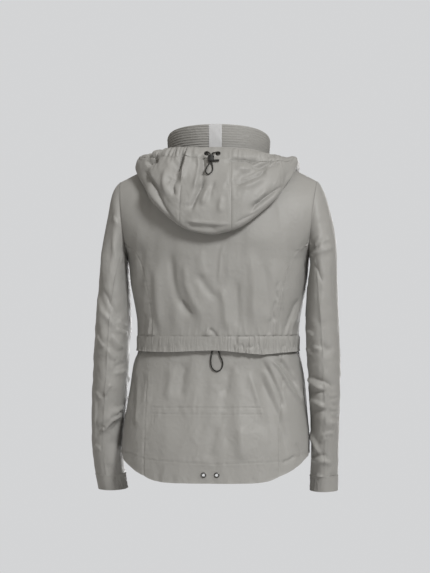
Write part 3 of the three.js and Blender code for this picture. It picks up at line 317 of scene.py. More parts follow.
RIGHT_SLEEVE = table(
    SLEEVE_NAMES,
    (0, 181, -206, 197, -60, -4, 61),
    (8, 182.6, -212, 202.5, -66, -4, 63),
    (20, 183.4, -219, 210.5, -83, -4, 65),
    (36, 183.6, -227, 219, -110, -4, 67),
    (56, 182.6, -237, 227.5, -143, -3, 69),
    (80, 181, -249, 234, -184, -3, 70),
    (108, 179.5, -265, 236.5, -232, -2, 70),
    (146, 177, -290, 237.5, -285, -1, 68),
    (190, 175, -332, 239, -332, 1, 65),
    (230, 175.5, -372, 240.5, -372, 3, 63),
    (270, 177.5, -412, 242, -412, 3, 62),
    (320, 181, -462, 242.5, -462, -1, 61),
    (370, 183, -510, 241.5, -510, -9, 58),
    (415, 184.5, -555, 240, -555, -18, 55),
    (455, 185, -595, 238, -595, -27, 52),
    (495, 183.5, -636, 237, -636, -36, 48),
    (535, 182, -678, 237, -678, -44, 46),
)
SLEEVE_SEAM = table(
    ("down", "round"), (0, 128), (50, 119), (110, 105), (190, 91), (300, 88), (535, 86)
)


def sleeve_point(sections, hand, round_, down):
    """round_ is 0 at the sleeve's outer side, 90 at the back and 180 next to the body."""
    c, s = np.cos(round_ * DEGREE), np.sin(round_ * DEGREE)
    out = (1 + c) / 2
    fullness = lerp(1, 0.92, smooth(down / 100))
    return place(
        hand * lerp(read(sections, "inner_x", down), read(sections, "outer_x", down), out),
        read(sections, "y", down) + read(sections, "depth", down) * np.sign(s) * np.abs(s) ** fullness,
        lerp(read(sections, "inner_z", down), read(sections, "outer_z", down), out),
    )


# The hood hangs down the back as an open pouch: from the collar seam down to a fold and back up to its edge.
HOOD_NAMES = ("turn", "fold_x", "fold_z", "edge_x", "edge_y", "edge_z", "lift", "thick", "bulge")
HOOD_LEFT = table(
    HOOD_NAMES,
    (0, 0, -165, 0, 97, 3, 2.8, 32, 16),
    (20, 50, -154, 45, 94, 4, 2.8, 32, 16),
    (40, 97, -120, 82, 79, 5, 3, 31, 14),
    (60, 134, -80, 112, 53, 0, 4, 29, 10),
    (74, 154, -54, 127, 30, -5, 5, 27, 7),
    (87, 158, -44, 136, 5, -6, 7, 27, 5),
    (100, 150, -57, 138, -28, -7, 6, 28, 4),
    (118, 124, -76, 122, -63, -21, 5, 27, 4),
    (138, 88, -95, 90, -89, -46, 4.5, 21, 2),
    (160, 44, -110, 46, -109, -68, 4, 17, 1),
)
HOOD_RIGHT = table(
    HOOD_NAMES,
    (0, 0, -165, 0, 97, 3, 2.8, 32, 16),
    (20, 50, -152, 45, 94, 1, 2.8, 32, 16),
    (40, 95, -118, 84, 79, -4, 3, 31, 14),
    (60, 128, -84, 116, 53, -9, 4, 29, 9),
    (74, 146, -60, 133, 29, -13, 5, 27, 6),
    (87, 151, -42, 142, 4, -12, 7, 27, 4),
    (100, 144, -56, 140, -28, -12, 6, 27, 4),
    (118, 122, -76, 122, -63, -23, 5, 26, 4),
    (138, 88, -95, 90, -89, -46, 4.5, 21, 2),
    (160, 44, -110, 46, -109, -68, 4, 17, 1),
)


def find_on_body(x, z, face):
    """The body's own place (u, v) that is seen at x, z from behind or in front."""
    u, v = np.clip(x / 195, -0.98, 0.98), np.full_like(x, 0.4)
    d = 1e-3
    for _ in range(40):
        here = upper(u, v, face)
        du = (upper(u + d, v, face) - here) / d
        dv = (upper(u, v - d, face) - here) / -d
        off_x, off_z = x - here[..., 0], z - here[..., 2]
        size = du[..., 0] * dv[..., 2] - du[..., 2] * dv[..., 0]
        u = np.clip(u + 0.7 * (off_x * dv[..., 2] - off_z * dv[..., 0]) / size, -0.99, 0.99)
        v = np.clip(v + 0.7 * (du[..., 0] * off_z - du[..., 2] * off_x) / size, 0.02, 0.985)
    return u, v


def over_body(u, v, lift):
    """Height above the body at u, v. Past the shoulder seam, v over 1 runs on down the front."""
    face = np.where(v > 1, -1.0, 1.0)
    w = np.where(v > 1, 2 - v, v)
    d, wide = 1e-3, 0.08  # wide smooths the bend below the end of the collar seam
    u0, w0 = np.clip(u, wide - 1, 1 - wide), np.clip(w, d, 1 - d)
    across = upper(u0 + wide, w0, face) - upper(u0 - wide, w0, face)
    up = upper(u0, w0 + d, face) - upper(u0, w0 - d, face)
    normal = unit(np.cross(across, up) * -face[..., None])
    seam = armhole(0.0) - neck(90.0)
    square = unit(place(-np.sign(u) * seam[2], 0, seam[0]))
    normal = unit(lerp(normal, square, smooth(1 - np.abs(v - 1) / 0.2)[..., None]))
    return upper(u, w, face) + normal * np.broadcast_to(lift, u.shape)[..., None]


HOOD_KNOTS = np.array(
    [-160, -145, -130, -119, -110, -103, -97, -92, -87, -82, -77, -71, -64, -56]
    + [-48, -40, -32, -23, -14, -8, -2, 4, 10, 17, 24, 32, 40, 48, 56, 64, 71]
    + [77, 82, 87, 92, 97, 103, 110, 119, 130, 145, 160],
    float,
)


def hood_sections(turns):
    """The hood's sections, on smooth curves that don't swing past those at the knots."""
    made, gaps = plain_sections(HOOD_KNOTS), np.diff(HOOD_KNOTS)
    rises = np.diff(made, axis=0) / gaps[:, None, None]
    before, after = rises[:-1], rises[1:]
    least = np.minimum(np.abs(before), np.abs(after))
    slopes = np.zeros(made.shape)
    fair = np.minimum(2 * least, np.abs(before + after) / 2)
    slopes[1:-1] = np.where(before * after > 0, np.sign(after) * fair, 0)
    i = np.clip(np.searchsorted(HOOD_KNOTS, turns) - 1, 0, len(gaps) - 1)
    step = gaps[i][:, None, None]
    s = (turns - HOOD_KNOTS[i])[:, None, None] / step
    t, u = s * s * (3 - 2 * s), s * (1 - s)
    return made[i] * (1 - t) + made[i + 1] * t + u * step * (slopes[i] * (1 - s) - slopes[i + 1] * s)


def hood_turns(start, end, step):
    """Turns from start to end, closer together where the hood passes over the shoulders."""
    low, high = HOOD_RIDGE, HOOD_RIDGE + 5
    knots = [start, *(t for t in (-high, -low, low, high) if start < t < end), end]
    runs = []
    for a, b in zip(knots, knots[1:]):
        close = 4 if b - a == high - low else 1
        runs.append(np.linspace(a, b, int((b - a) / step * close) + 2)[:-1])
    turns = np.concatenate([*runs, [end]])
    return (turns - start) / (end - start)


def plain_sections(turns):
    """Nine points for each turn: collar seam, three on the body, the fold, the far layer and its edge."""
    t, hand = np.abs(turns), np.where(turns < 0, -1.0, 1.0)

    def at(column):
        return np.where(hand > 0, read(HOOD_LEFT, column, t), read(HOOD_RIGHT, column, t))

    face = np.where(t > HOOD_RIDGE, -1.0, 1.0)
    u, v = find_on_body(hand * at("fold_x"), at("fold_z"), face)
    fold_v = np.where(face > 0, v, 2 - v)
    seam_u = hand * NECK_SHARE * np.where(t > 90, 180 - t, t) / 90
    seam_v = np.where(t > 90, 1.0001, 0.9999)

    def on_body(share, lift):
        return over_body(lerp(seam_u, u, share), lerp(seam_v, fold_v, share), lift)

    seam = collar_point(turns, HOOD["seam_up"])
    seam = seam + HOOD["seam_out"] * unit(place(seam[..., 0], seam[..., 1] - NECK["y"], 0))
    lift, thick, bulge = at("lift"), at("thick"), at("bulge")
    far = on_body(HOOD_SHARES["far"], thick)
    edge = place(hand * at("edge_x"), at("edge_y"), at("edge_z"))
    swell = unit(far - on_body(HOOD_SHARES["far"], 0))
    casing = np.minimum(HOOD["casing"] / np.linalg.norm(far - edge, axis=-1), 0.6)[..., None]

    def back(share):
        return far + (edge - far) * share + swell * 4 * bulge[..., None] * share * (1 - share)

    path = [
        seam,
        on_body(HOOD_SHARES["upper"], lift),
        on_body(HOOD_SHARES["lower"], lift + 0.4),
        on_body(HOOD_SHARES["rolled"], lift + 2),
        on_body(HOOD_SHARES["lip"], lerp(lift, thick, 0.5)),
        far,
        back((1 - casing) / 2),
        back(1 - casing),
        edge,
    ]
    return np.stack(path, -2)


def along(paths, q):
    """Places on smooth paths through points, for each q from 0 to 1."""
    last = paths.shape[-2] - 1
    at = np.clip(q, 0, 0.99999) * last
    i = np.floor(at).astype(int)
    t = (at - i)[:, None]
    a, b, c, d = (paths[..., np.clip(i + k, 0, last), :] for k in (-1, 0, 1, 2))
    cubic = 3 * (b - c) + d - a
    return b + 0.5 * t * (c - a + t * (2 * a - 5 * b + 4 * c - d + t * cubic))


def hood_surface(start_turn, end_turn, start_q, end_q):
    def point(a, b):
        return along(hood_sections(lerp(start_turn, end_turn, a[:, 0])), lerp(start_q, end_q, b[0]))

    return point


def hood_spot(x, z):
    """The place and normal of the hood's far layer that is seen at x, z from behind."""
    turn, q = x / HOOD["per_turn"], 0.9
    for i in range(30):
        if i == 0:
            low, high = 0.62, 0.99
        q = (low + high) / 2
        spot = along(hood_sections(np.array([turn])), np.array([q]))[0, 0]
        low, high = (q, high) if spot[2] < z else (low, q)
        if i > 12:
            turn += (x - spot[0]) / HOOD["per_turn"] / 2
    d = 0.3
    spots = along(hood_sections(np.array([turn - d, turn, turn + d])), np.array([q - 0.005, q, q + 0.005]))
    normal = -unit(np.cross(spots[2, 1] - spots[0, 1], spots[1, 2] - spots[1, 0]))
    return spots[1, 1] + normal * folds(HOOD_FOLDS, spots[1, 1, 0], spots[1, 1, 2]), normal


# Large folds, which the solids have too: two ends, the half width and the depth.
YOKE_FOLDS = (
    (86, -180, 74, -330, 22, -3),
    (44, -190, 30, -350, 24, 2.5),
    (-26, -220, -52, -350, 22, -3),
    (-84, -170, -78, -330, 26, -3.5),
    (-118, -210, -104, -345, 16, 3),
)
LOWER_FOLDS = (
    (-74, -398, -124, -590, 15, -4.5),
    (-98, -398, -146, -540, 11, 4),
    (-38, -400, -62, -640, 20, 3),
    (-22, -430, -34, -610, 18, -3),
    (84, -420, 58, -600, 26, -2.5),
)
HOOD_FOLDS = (
    (78, -14, 70, -78, 7, -6),
    (34, -10, 16, -96, 9, -4.5),
    (92, -60, 70, -110, 10, 2.5),
    (-30, -70, -118, -22, 8, -4.5),
    (-58, -30, -124, -8, 7, -3.5),
    (-66, -128, -134, -70, 7, -4),
    (50, -143, -40, -150, 7, -3),
)
SLEEVE_FOLDS = (
    (236, -300, 214, -400, 9, -5),
    (222, -370, 190, -408, 8, 3.5),
    (196, -512, 246, -548, 8, -5),
    (-196, -380, -232, -398, 8, 4),
    (-200, -520, -234, -548, 9, -4),
)

# Creases: half width, depth, and the route as seen from behind. A trough's depth is negative.
YOKE_CREASES = [
    (3, 2.4, (-19, -179), (-13, -221), (-9, -264)),
    (8, -2.8, (34, -241), (15, -270), (-7, -297)),
    (8, 3, (-13, -264), (-22, -303), (-26, -359)),
    (8, -3, (-42, -249), (-47, -303), (-47, -361)),
    (9, 2.8, (-72, -190), (-78, -272), (-76, -346)),
    (8, -2.4, (-99, -213), (-105, -276), (-101, -331)),
    (9, 2.8, (115, -221), (113, -295), (107, -362)),
    (8, -3, (87, -198), (81, -256), (72, -291), (54, -317), (34, -342)),
    (3.5, -2.4, (66, -295), (54, -307), (40, -326)),
    (8, 2.4, (58, -213), (54, -264), (40, -297), (19, -334)),
    (3, -3.2, (13, -346), (1, -356), (-9, -369)),
    (3, 3, (19, -365), (11, -352), (5, -346)),
    (3, -3, (136, -321), (141, -345), (143, -368)),
    (3, 2.4, (128, -331), (132, -368)),
    (2.6, -2.4, (-126, -256), (-120, -276), (-124, -297)),
    (2.6, -2.2, (-122, -293), (-114, -317), (-118, -340)),
    (2.6, 2.2, (-133, -266), (-128, -295), (-131, -321)),
    (2.6, -2.4, (-110, -329), (-107, -366)),
    (2.6, 2.2, (-118, -333), (-114, -368)),
    (4, -3.4, (-164, -290), (-148, -329), (-135, -364)),
    (5, 2.4, (-171, -280), (-160, -319), (-148, -351)),
    (8, -1.8, (149, -173), (145, -237), (151, -296)),
    (9, 1.8, (26, -198), (21, -233), (15, -256)),
]
LOWER_CREASES = [
    (3, 4.2, (-104, -407), (-122, -427), (-143, -463), (-169, -505)),
    (5, -4, (-122, -405), (-144, -435), (-164, -469)),
    (3, 3, (-148, -433), (-160, -467), (-171, -503)),
    (4.5, -4, (-91, -407), (-106, -434), (-125, -476), (-137, -518)),
    (8, -2.4, (-28, -420), (-26, -455), (-20, -486)),
    (7, -3, (-82, -424), (-103, -469), (-125, -517), (-135, -555), (-141, -604)),
    (7, 2.6, (-66, -434), (-85, -485), (-104, -540)),
    (8, 2, (83, -420), (93, -495)),
    (8, -2, (59, -412), (67, -491)),
    (10, -2, (-5, -537), (9, -611)),
    (9, 2, (-51, -537), (-57, -611)),
    (3, -2, (-158, -572), (-167, -592), (-169, -612)),
    (5, -2, (163, -438), (167, -513)),
    (5, 2, (154, -461), (156, -552)),
    (3, -1.8, (-129, -613), (-144, -608), (-160, -597)),
]
HOOD_CREASES = [
    (4.5, -6, (58, -5), (61, -17), (66, -36), (69, -47)),
    (4, 3.6, (52, -3), (55, -21), (59, -44), (63, -67)),
    (4, -4.2, (75, -55), (77, -72), (75, -86), (69, -96)),
    (3, -2.4, (81, -55), (86, -64), (87, -74)),
    (6, 2.6, (93, -35), (97, -66), (89, -97)),
    (3.4, -5, (15, -58), (21, -71), (26, -87), (35, -108), (40, -125)),
    (6, 3, (8, -75), (15, -94), (21, -114)),
    (4.5, -5, (25, -10), (19, -21), (17, -35), (20, -56)),
    (5, 3.4, (32, -7), (29, -31), (31, -60), (37, -87)),
    (5, -5, (144, -37), (128, -57), (111, -79), (97, -111), (83, -134), (69, -148)),
    (5, 3, (144, -59), (124, -91), (99, -126)),
    (4, 6, (57, -143), (23, -147), (-12, -150), (-39, -149)),
    (9, -8, (51, -158), (17, -162), (-19, -162)),
    (6, -6, (138, -29), (126, -20), (111, -13)),
    (3, -3.6, (-19, -29), (-31, -25), (-42, -21), (-71, -24), (-91, -20)),
    (3, -3.4, (-67, -36), (-82, -34), (-95, -31), (-110, -24), (-121, -19)),
    (2.6, -2.4, (-106, -32), (-117, -30), (-126, -27)),
    (5, 2, (-39, -37), (-65, -42), (-88, -38)),
    (4, -5, (-33, -66), (-42, -65), (-52, -67), (-69, -60), (-88, -52), (-99, -43), (-108, -33)),
    (6, 2.4, (-46, -81), (-76, -73), (-102, -57)),
    (3.2, -4.4, (-73, -131), (-82, -118), (-91, -108), (-101, -99), (-117, -87), (-137, -71)),
    (5, 2.6, (-76, -111), (-89, -98), (-110, -82)),
    (3.2, -3.8, (-37, -150), (-54, -142), (-71, -134), (-86, -128), (-99, -121), (-123, -101)),
    (3, -2.6, (-135, -69), (-145, -59), (-150, -45)),
    (3, -2, (-23, -77), (-31, -69), (-41, -67)),
    (4, -1.8, (-6, -64), (2, -83), (4, -102)),
    (5, 1.8, (-19, -95), (-14, -114), (-16, -129)),
    (3, -2, (51, -110), (43, -114), (37, -110)),
]
LEFT_SLEEVE_CREASES = [
    (7, -3, (221, -90), (225, -177), (223, -276)),
    (8, 2.4, (208, -98), (211, -161), (209, -232)),
    (5, -4, (237, -280), (225, -315), (196, -355)),
    (5, 3, (225, -272), (209, -304), (188, -335)),
    (3.2, -3.4, (235, -361), (229, -375), (219, -391)),
    (3.2, -3.6, (200, -351), (190, -357), (178, -365)),
    (3, -3, (194, -333), (188, -341), (180, -349)),
    (5, -2.6, (208, -363), (198, -377), (186, -395)),
    (3.2, -3, (170, -410), (172, -428), (190, -438), (211, -442)),
    (4, 2.6, (176, -406), (184, -422), (208, -432)),
    (2.8, -3, (208, -460), (215, -472), (223, -486)),
    (3, -2.6, (239, -476), (233, -486), (229, -493)),
    (3.6, -5, (174, -505), (186, -509), (198, -513), (206, -525)),
    (3.8, -6, (188, -523), (200, -527), (209, -533), (221, -549), (237, -559)),
    (5, 3, (184, -535), (200, -543), (215, -561)),
    (3, -3, (247, -582), (241, -588), (233, -594)),
    (6, -2.6, (204, -580), (209, -604), (213, -632)),
    (3, -3, (180, -616), (192, -618), (202, -624)),
    (3, -3, (180, -630), (192, -634), (202, -636)),
    (3, 2.4, (180, -622), (194, -626)),
    (3, -3, (241, -466), (241, -533), (245, -588)),
    (3, -2.6, (206, -126), (198, -141), (190, -153)),
    (4, -2.4, (192, -197), (182, -221), (178, -248)),
    (3.4, -3, (215, -391), (206, -406), (198, -416)),
]
RIGHT_SLEEVE_CREASES = [
    (3, -4.4, (-180, -209), (-196, -203), (-213, -197), (-233, -189)),
    (3, 3.2, (-184, -197), (-201, -191), (-225, -181)),
    (2.8, -2.6, (-188, -201), (-186, -181), (-182, -169)),
    (2.8, -2.6, (-194, -197), (-201, -181), (-209, -167)),
    (2.8, -2.4, (-201, -195), (-215, -181), (-225, -171)),
    (3.4, 2.2, (-192, -221), (-201, -240), (-211, -264)),
    (3.2, -3.4, (-176, -353), (-184, -359), (-194, -365)),
    (3.2, -3.2, (-188, -387), (-198, -389), (-209, -393)),
    (3, -3, (-174, -387), (-182, -395), (-190, -402)),
    (3.6, 4.2, (-186, -446), (-198, -452), (-211, -456), (-225, -462), (-233, -474)),
    (4.4, -6, (-178, -446), (-192, -458), (-203, -466), (-215, -472)),
    (3.4, 3.4, (-182, -480), (-198, -478), (-219, -476)),
    (4.4, -5.4, (-180, -489), (-196, -495), (-207, -501), (-217, -509)),
    (3.4, 3, (-184, -517), (-200, -515), (-219, -513)),
    (2.4, -2.4, (-221, -482), (-229, -484), (-237, -480)),
    (2.4, -2.4, (-223, -493), (-231, -495), (-241, -491)),
    (2.4, -2.4, (-221, -505), (-231, -509), (-241, -505)),
    (2.4, -2.4, (-223, -519), (-233, -521), (-241, -519)),
    (2.4, -2.2, (-221, -533), (-231, -537), (-241, -533)),
    (2.8, -3, (-207, -573), (-213, -561), (-223, -557), (-235, -559)),
    (2.6, -2.4, (-203, -575), (-211, -571), (-221, -565)),
    (4.4, -5.4, (-184, -549), (-190, -569), (-198, -586), (-207, -606)),
    (3.4, 3.2, (-190, -596), (-201, -602), (-219, -606)),
    (3.4, -4.6, (-184, -610), (-198, -612), (-211, -614), (-229, -620)),
    (3, -3, (-194, -642), (-201, -644), (-213, -650)),
    (3, 2.2, (-219, -644), (-229, -646), (-237, -650)),
    (6, -2.4, (-209, -276), (-207, -315), (-211, -347)),
    (6, 2, (-231, -221), (-233, -276), (-237, -335)),
]
FRONT_CREASES = [
    (6, -3, (150, -190), (118, -228), (96, -250)),
    (5, 2.4, (158, -206), (130, -244)),
    (7, -3, (128, -250), (118, -330), (128, -400)),
    (6, 2.2, (96, -270), (88, -350)),
    (5, -2.6, (52, -330), (44, -400)),
    (6, 2, (70, -380), (66, -470)),
    (5, -2.4, (140, -372), (112, -388), (84, -392)),
    (5, -2, (118, -430), (124, -540)),
    (7, 2, (84, -480), (92, -570)),
    (5, -2.2, (40, -500), (48, -596)),
    (4, -2, (24, -180), (34, -250)),
    (5, -2, (-150, -196), (-122, -232), (-104, -262)),
    (6, 2.4, (-134, -222), (-112, -262)),
    (6, -3, (-120, -268), (-112, -336), (-122, -396)),
    (6, 2, (-84, -260), (-78, -360)),
    (5, -2.4, (-58, -310), (-50, -404)),
    (5, -2.4, (-146, -384), (-116, -396), (-90, -398)),
    (6, 2, (-96, -430), (-104, -530)),
    (5, -2.2, (-128, -450), (-134, -560)),
    (5, -2, (-44, -480), (-56, -590)),
    (4, -1.8, (-26, -200), (-36, -270)),
]
# Small gathers that run up from the casing: place, length and lean.
YOKE_GATHERS = (
    (131, 18, 0), (122, 27, -2), (20, 20, 0), (9, 31, 6), (-30, 43, 0), (-48, 23, -4), (-62, 39, 4),
    (-73, 18, -2), (-87, 47, 6), (-97, 23, -2), (-107, 58, -4), (-114, 27, 0), (-120, 51, 6),
    (-128, 35, -4), (-138, 23, -6), (-147, 43, -8), (-157, 20, -2),
)
CASING_GATHERS = table(
    ("turn", "depth"),
    (-90, 1.2),
    (-60, 1.5),
    (-15, 1.3),
    (-4, 0.5),
    (20, 0.35),
    (52, 0.5),
    (66, 1.3),
    (90, 1.2),
)
CASING_EDGE = table(
    ("turn", "z"),
    (-90, -397),
    (-50, -399),
    (-32, -401.5),
    (-15, -397),
    (-2, -393.5),
    (10, -394.5),
    (30, -397),
    (90, -397),
)


def folds(rows, x, z):
    """The height that large folds add at a place seen from behind."""
    total = np.zeros(np.broadcast(x, z).shape)
    for x1, z1, x2, z2, width, depth in rows:
        dx, dz = x2 - x1, z2 - z1
        length = math.hypot(dx, dz)
        share = ((x - x1) * dx + (z - z1) * dz) / length / length
        across = ((x - x1) * dz - (z - z1) * dx) / length / width
        total = total + depth * smooth(share / 0.3) * smooth((1 - share) / 0.3) * np.exp(-across * across)
    return total


def creases(rows, x, z):
    """The height that creases add.

    Each fades at both ends, and a narrow one has a steep side away from the light.
    """
    total = np.zeros(np.broadcast(x, z).shape)
    for width, depth, *route in rows:
        best = np.full(total.shape, np.inf)
        share = np.zeros(total.shape)
        lit = np.zeros(total.shape, bool)
        lengths = [math.hypot(b[0] - a[0], b[1] - a[1]) for a, b in zip(route, route[1:])]
        done = 0.0
        for (x1, z1), (x2, z2), length in zip(route, route[1:], lengths):
            dx, dz = x2 - x1, z2 - z1
            t = np.clip(((x - x1) * dx + (z - z1) * dz) / length / length, 0, 1)
            away = np.hypot(x - x1 - t * dx, z - z1 - t * dz)
            nearer = away < best
            best = np.where(nearer, away, best)
            share = np.where(nearer, (done + t * length) / sum(lengths), share)
            lit = np.where(nearer, z - z1 - t * dz > x - x1 - t * dx, lit)
            done += length
        taper = smooth(share / 0.25) * smooth((1 - share) / 0.25)
        crisp = np.clip(2 - width / 4, 0, 1)
        reach = width * np.where(lit == (depth < 0), 1 - 0.4 * crisp, 1 + 0.5 * crisp)
        total = total + 1.3 * depth * taper * np.exp(-((best / reach) ** (2 - 0.7 * crisp)))
    return total


def value_noise(x, y, seed):
    """Smooth noise from -1 to 1, with one bump to a unit."""
    grid = np.random.default_rng(seed).uniform(-1, 1, (64, 64))
    i, j = np.floor(x).astype(int), np.floor(y).astype(int)
    s, t = x - i, y - j
    s, t = s * s * (3 - 2 * s), t * t * (3 - 2 * t)
    a, b = grid[i % 64, j % 64], grid[(i + 1) % 64, j % 64]
    c, d = grid[i % 64, (j + 1) % 64], grid[(i + 1) % 64, (j + 1) % 64]
    return lerp(lerp(a, b, s), lerp(c, d, s), t)


def pleats(run, rise, seed):
    """Round gathers with sharp valleys between them, from about -1 to 1, a few to each unit of run."""
    return 1 - 2.2 * (1 - np.abs(value_noise(run, rise, seed))) ** 4


def crumple(x, y, seed, size=13.0, stretch=2.2):
    """Fine sharp-edged crinkles of crisp cloth, in millimetres, longer along y than along x."""
    bend = 6 * value_noise(x / 31, y / 37, seed + 7)
    u, v = (x + bend) / size, (y - bend) / size / stretch
    slant = 0.55
    first = 1 - np.abs(value_noise(u + slant * v, v, seed)) * 2
    second = 1 - np.abs(value_noise(2.1 * u - 1.3 * slant * v + 9, 2.3 * v, seed + 1)) * 2
    patches = 0.6 + 0.6 * value_noise(x / 47 + 5, y / 53, seed + 2)
    soft = value_noise(x / 24, y / 40, seed + 3)
    return patches * (0.5 * first + 0.28 * second) + 0.7 * soft


class Sheet:
    """A cloth piece as a grid of points on its outer face, in millimetres.

    surface(a, b) gives the plain face for columns a and rows b from 0 to 1. side turns its normals
    outwards, loop joins the last column to the first, and height(sheet) gives the relief on it."""

    def __init__(self, surface, columns, rows, height, side=-1, loop=False):
        self.a = np.linspace(0, 1, columns + 1) if np.isscalar(columns) else np.asarray(columns, float)
        self.b = np.linspace(0, 1, rows + 1) if np.isscalar(rows) else np.asarray(rows, float)
        self.loop = loop
        self.turned = side < 0
        grid_a, grid_b = np.meshgrid(self.a, self.b, indexing="ij")
        self.base = surface(grid_a, grid_b)
        across = np.gradient(self.base, self.a, axis=0)
        if loop:
            across[0] = across[-1] = 0.5 * (across[0] + across[-1])
        up = np.gradient(self.base, self.b, axis=1)
        self.normal = unit(np.cross(across, up)) * side
        steps_a = np.linalg.norm(np.diff(self.base, axis=0), axis=-1)
        steps_b = np.linalg.norm(np.diff(self.base, axis=1), axis=-1)
        self.left = np.concatenate([np.zeros((1, len(self.b))), np.cumsum(steps_a, 0)], 0)
        self.bottom = np.concatenate([np.zeros((len(self.a), 1)), np.cumsum(steps_b, 1)], 1)
        self.right = self.left[-1:] - self.left
        self.top = self.bottom[:, -1:] - self.bottom
        self.x, self.y, self.z = np.moveaxis(self.base, -1, 0)
        self.grid_a, self.grid_b = grid_a, grid_b
        self.points = self.base + self.normal * height(self)[..., None]
        self.width = float(self.left[-1].max())
        self.length = float(self.bottom[:, -1].max())
        diagonals = self.base[1:, 1:] - self.base[:-1, :-1], self.base[:-1, 1:] - self.base[1:, :-1]
        self.area = float(np.linalg.norm(np.cross(*diagonals), axis=-1).sum() / 2)

    def at(self, a, b, lift=0.0):
        """The place on the finished face at (a, b)."""
        fa = np.interp(a, self.a, np.arange(len(self.a)))
        fb = np.interp(b, self.b, np.arange(len(self.b)))
        i = np.minimum(fa.astype(int), len(self.a) - 2)
        j = np.minimum(fb.astype(int), len(self.b) - 2)
        s, t = (fa - i)[..., None], (fb - j)[..., None]
        place_ = lerp(
            lerp(self.points[i, j], self.points[i + 1, j], s),
            lerp(self.points[i, j + 1], self.points[i + 1, j + 1], s),
            t,
        )
        normal = lerp(
            lerp(self.normal[i, j], self.normal[i + 1, j], s),
            lerp(self.normal[i, j + 1], self.normal[i + 1, j + 1], s),
            t,
        )
        return place_ + lift * unit(normal), unit(normal)

    def beside(self, edge, distance, start=0.0, end=1.0):
        """A line at a distance in from an edge, as lists of a and b."""
        if edge in ("left", "right"):
            js = np.arange(len(self.b))[(self.b >= start) & (self.b <= end)]
            run = self.left if edge == "left" else self.right
            values = []
            for j in js:
                row = run[:, j] if edge == "left" else run[::-1, j]
                cols = self.a if edge == "left" else self.a[::-1]
                values.append(np.interp(distance, row, cols))
            return np.array(values), self.b[js]
        cols = np.arange(len(self.a))[(self.a >= start) & (self.a <= end)]
        run = self.bottom if edge == "bottom" else self.top
        values = []
        for i in cols:
            row = run[i] if edge == "bottom" else run[i, ::-1]
            rows = self.b if edge == "bottom" else self.b[::-1]
            values.append(np.interp(distance, row, rows))
        return self.a[cols], np.array(values)

    def level(self, z, start=0.0, end=1.0):
        """A line at a height z, or at heights z(x), across the columns from start to end."""
        cols = np.arange(len(self.a))[(self.a >= start) & (self.a <= end)]
        values = []
        for i in cols:
            target = z(self.x[i].mean()) if callable(z) else z
            order = np.argsort(self.z[i])
            values.append(np.interp(target, self.z[i][order], self.b[order]))
        return self.a[cols], np.array(values)


SEAM_SWELL = 0.25
SHEETS = {}


def seam_dip(distance):
    """Cloth runs down into a seam and swells a little beside it."""
    near = -0.3 * np.exp(-((distance / 1.5) ** 2))
    return near + SEAM_SWELL * np.exp(-(((distance - 4.2) / 2.4) ** 2))


def stitch_dip(distance, depth=0.5):
    """The groove that a row of stitches pulls into the cloth, with the cloth puffed up beside it."""
    groove = -depth * np.exp(-((distance / 1.0) ** 2))
    return groove + 0.3 * depth * np.exp(-(((np.abs(distance) - 3) / 1.6) ** 2))


def puckers(run, distance, reach, depth, seed, pitch=5.0):
    """Short ripples that cross a seam or hem: run is the distance along it and distance the one from it."""
    wave = value_noise(run / pitch, np.full_like(run, 3.5) + distance / 19, seed)
    return depth * wave * np.exp(-((distance / reach) ** 2))


def facing_back(y, low=20.0, high=45.0):
    """1 where the body faces the camera, fading to 0 round the sides."""
    return smooth((y - low) / (high - low))


def around_body(sheet):
    """A distance round the body, for what runs on from one piece to the next."""
    return 160 * np.arctan2(sheet.x, 1.3 * (sheet.y - SIDE_Y))


def fade_out(sheet, reach=4.0):
    """0 at the edges that are sewn to another piece and 1 away from them."""
    return smooth(np.minimum(np.minimum(sheet.left, sheet.right), sheet.top) / reach)


def yoke_height(sheet):
    x, z = sheet.x, sheet.z
    seen = facing_back(sheet.y, 5, 40)
    total = seen * (folds(YOKE_FOLDS, x, z) + creases(YOKE_CREASES, x, z))
    total = total + seen * yoke_bands(x, z)
    up = z - YOKE["casing_top"]
    for place_x, length, lean in YOKE_GATHERS:
        share = np.clip(up / length, 0, 1)
        away = (x - place_x - lean * share) / lerp(1.7, 3.2, share)
        ridge = 2.3 * (1 - share) ** 1.3 * smooth(up / 2.5) * np.exp(-np.abs(away) ** 1.3)
        total = total + seen * ridge * (up < length)
    run = around_body(sheet)
    wild = 1 - 0.5 * smooth((z + 150) / 60)
    total = total + 0.6 * wild * fade_out(sheet) * crumple(run, z, 11, 12, 2.6)
    shares = lerp(0.25, 0.9, smooth((z + 340) / 60))
    ripples = 0.9 * (1 - shares) * value_noise(x / 4.6 + 0.03 * up, up / 60, 17)
    return total + seen * ripples * smooth(up / 2.5) * np.exp(-up / 26)


def yoke_bands(x, z):
    """The broad soft folds that hang from the shoulders."""
    down = smooth((-120 - z) / 60) * smooth((z + 372) / 40)
    sway = 6 * np.sin((z + 200) / 62)
    wave = value_noise((x + sway) / 17, z / 190, 23)
    fine = value_noise((x - sway) / 8.5, z / 120, 29)
    return down * (2.0 * wave + 0.2 * fine)


def centre_height(sheet):
    swell = yoke_height(sheet)
    side = np.minimum(sheet.left, sheet.right)
    low = sheet.z < -190
    swell = swell + np.where(low | (sheet.grid_b < 0.66), seam_dip(side), 0)
    swell = swell + np.where(sheet.grid_b < 0.66, puckers(sheet.z, side, 9, 0.5, 31), 0)
    armhole_side = np.where(sheet.grid_b >= 0.66, seam_dip(side), 0)
    swell = swell + armhole_side + seam_dip(sheet.top) * 0.6 + seam_dip(sheet.bottom) * 0.15
    return swell + 0.5 * stitch_dip(side - 5.5, 0.45) * (sheet.grid_b < 0.62)


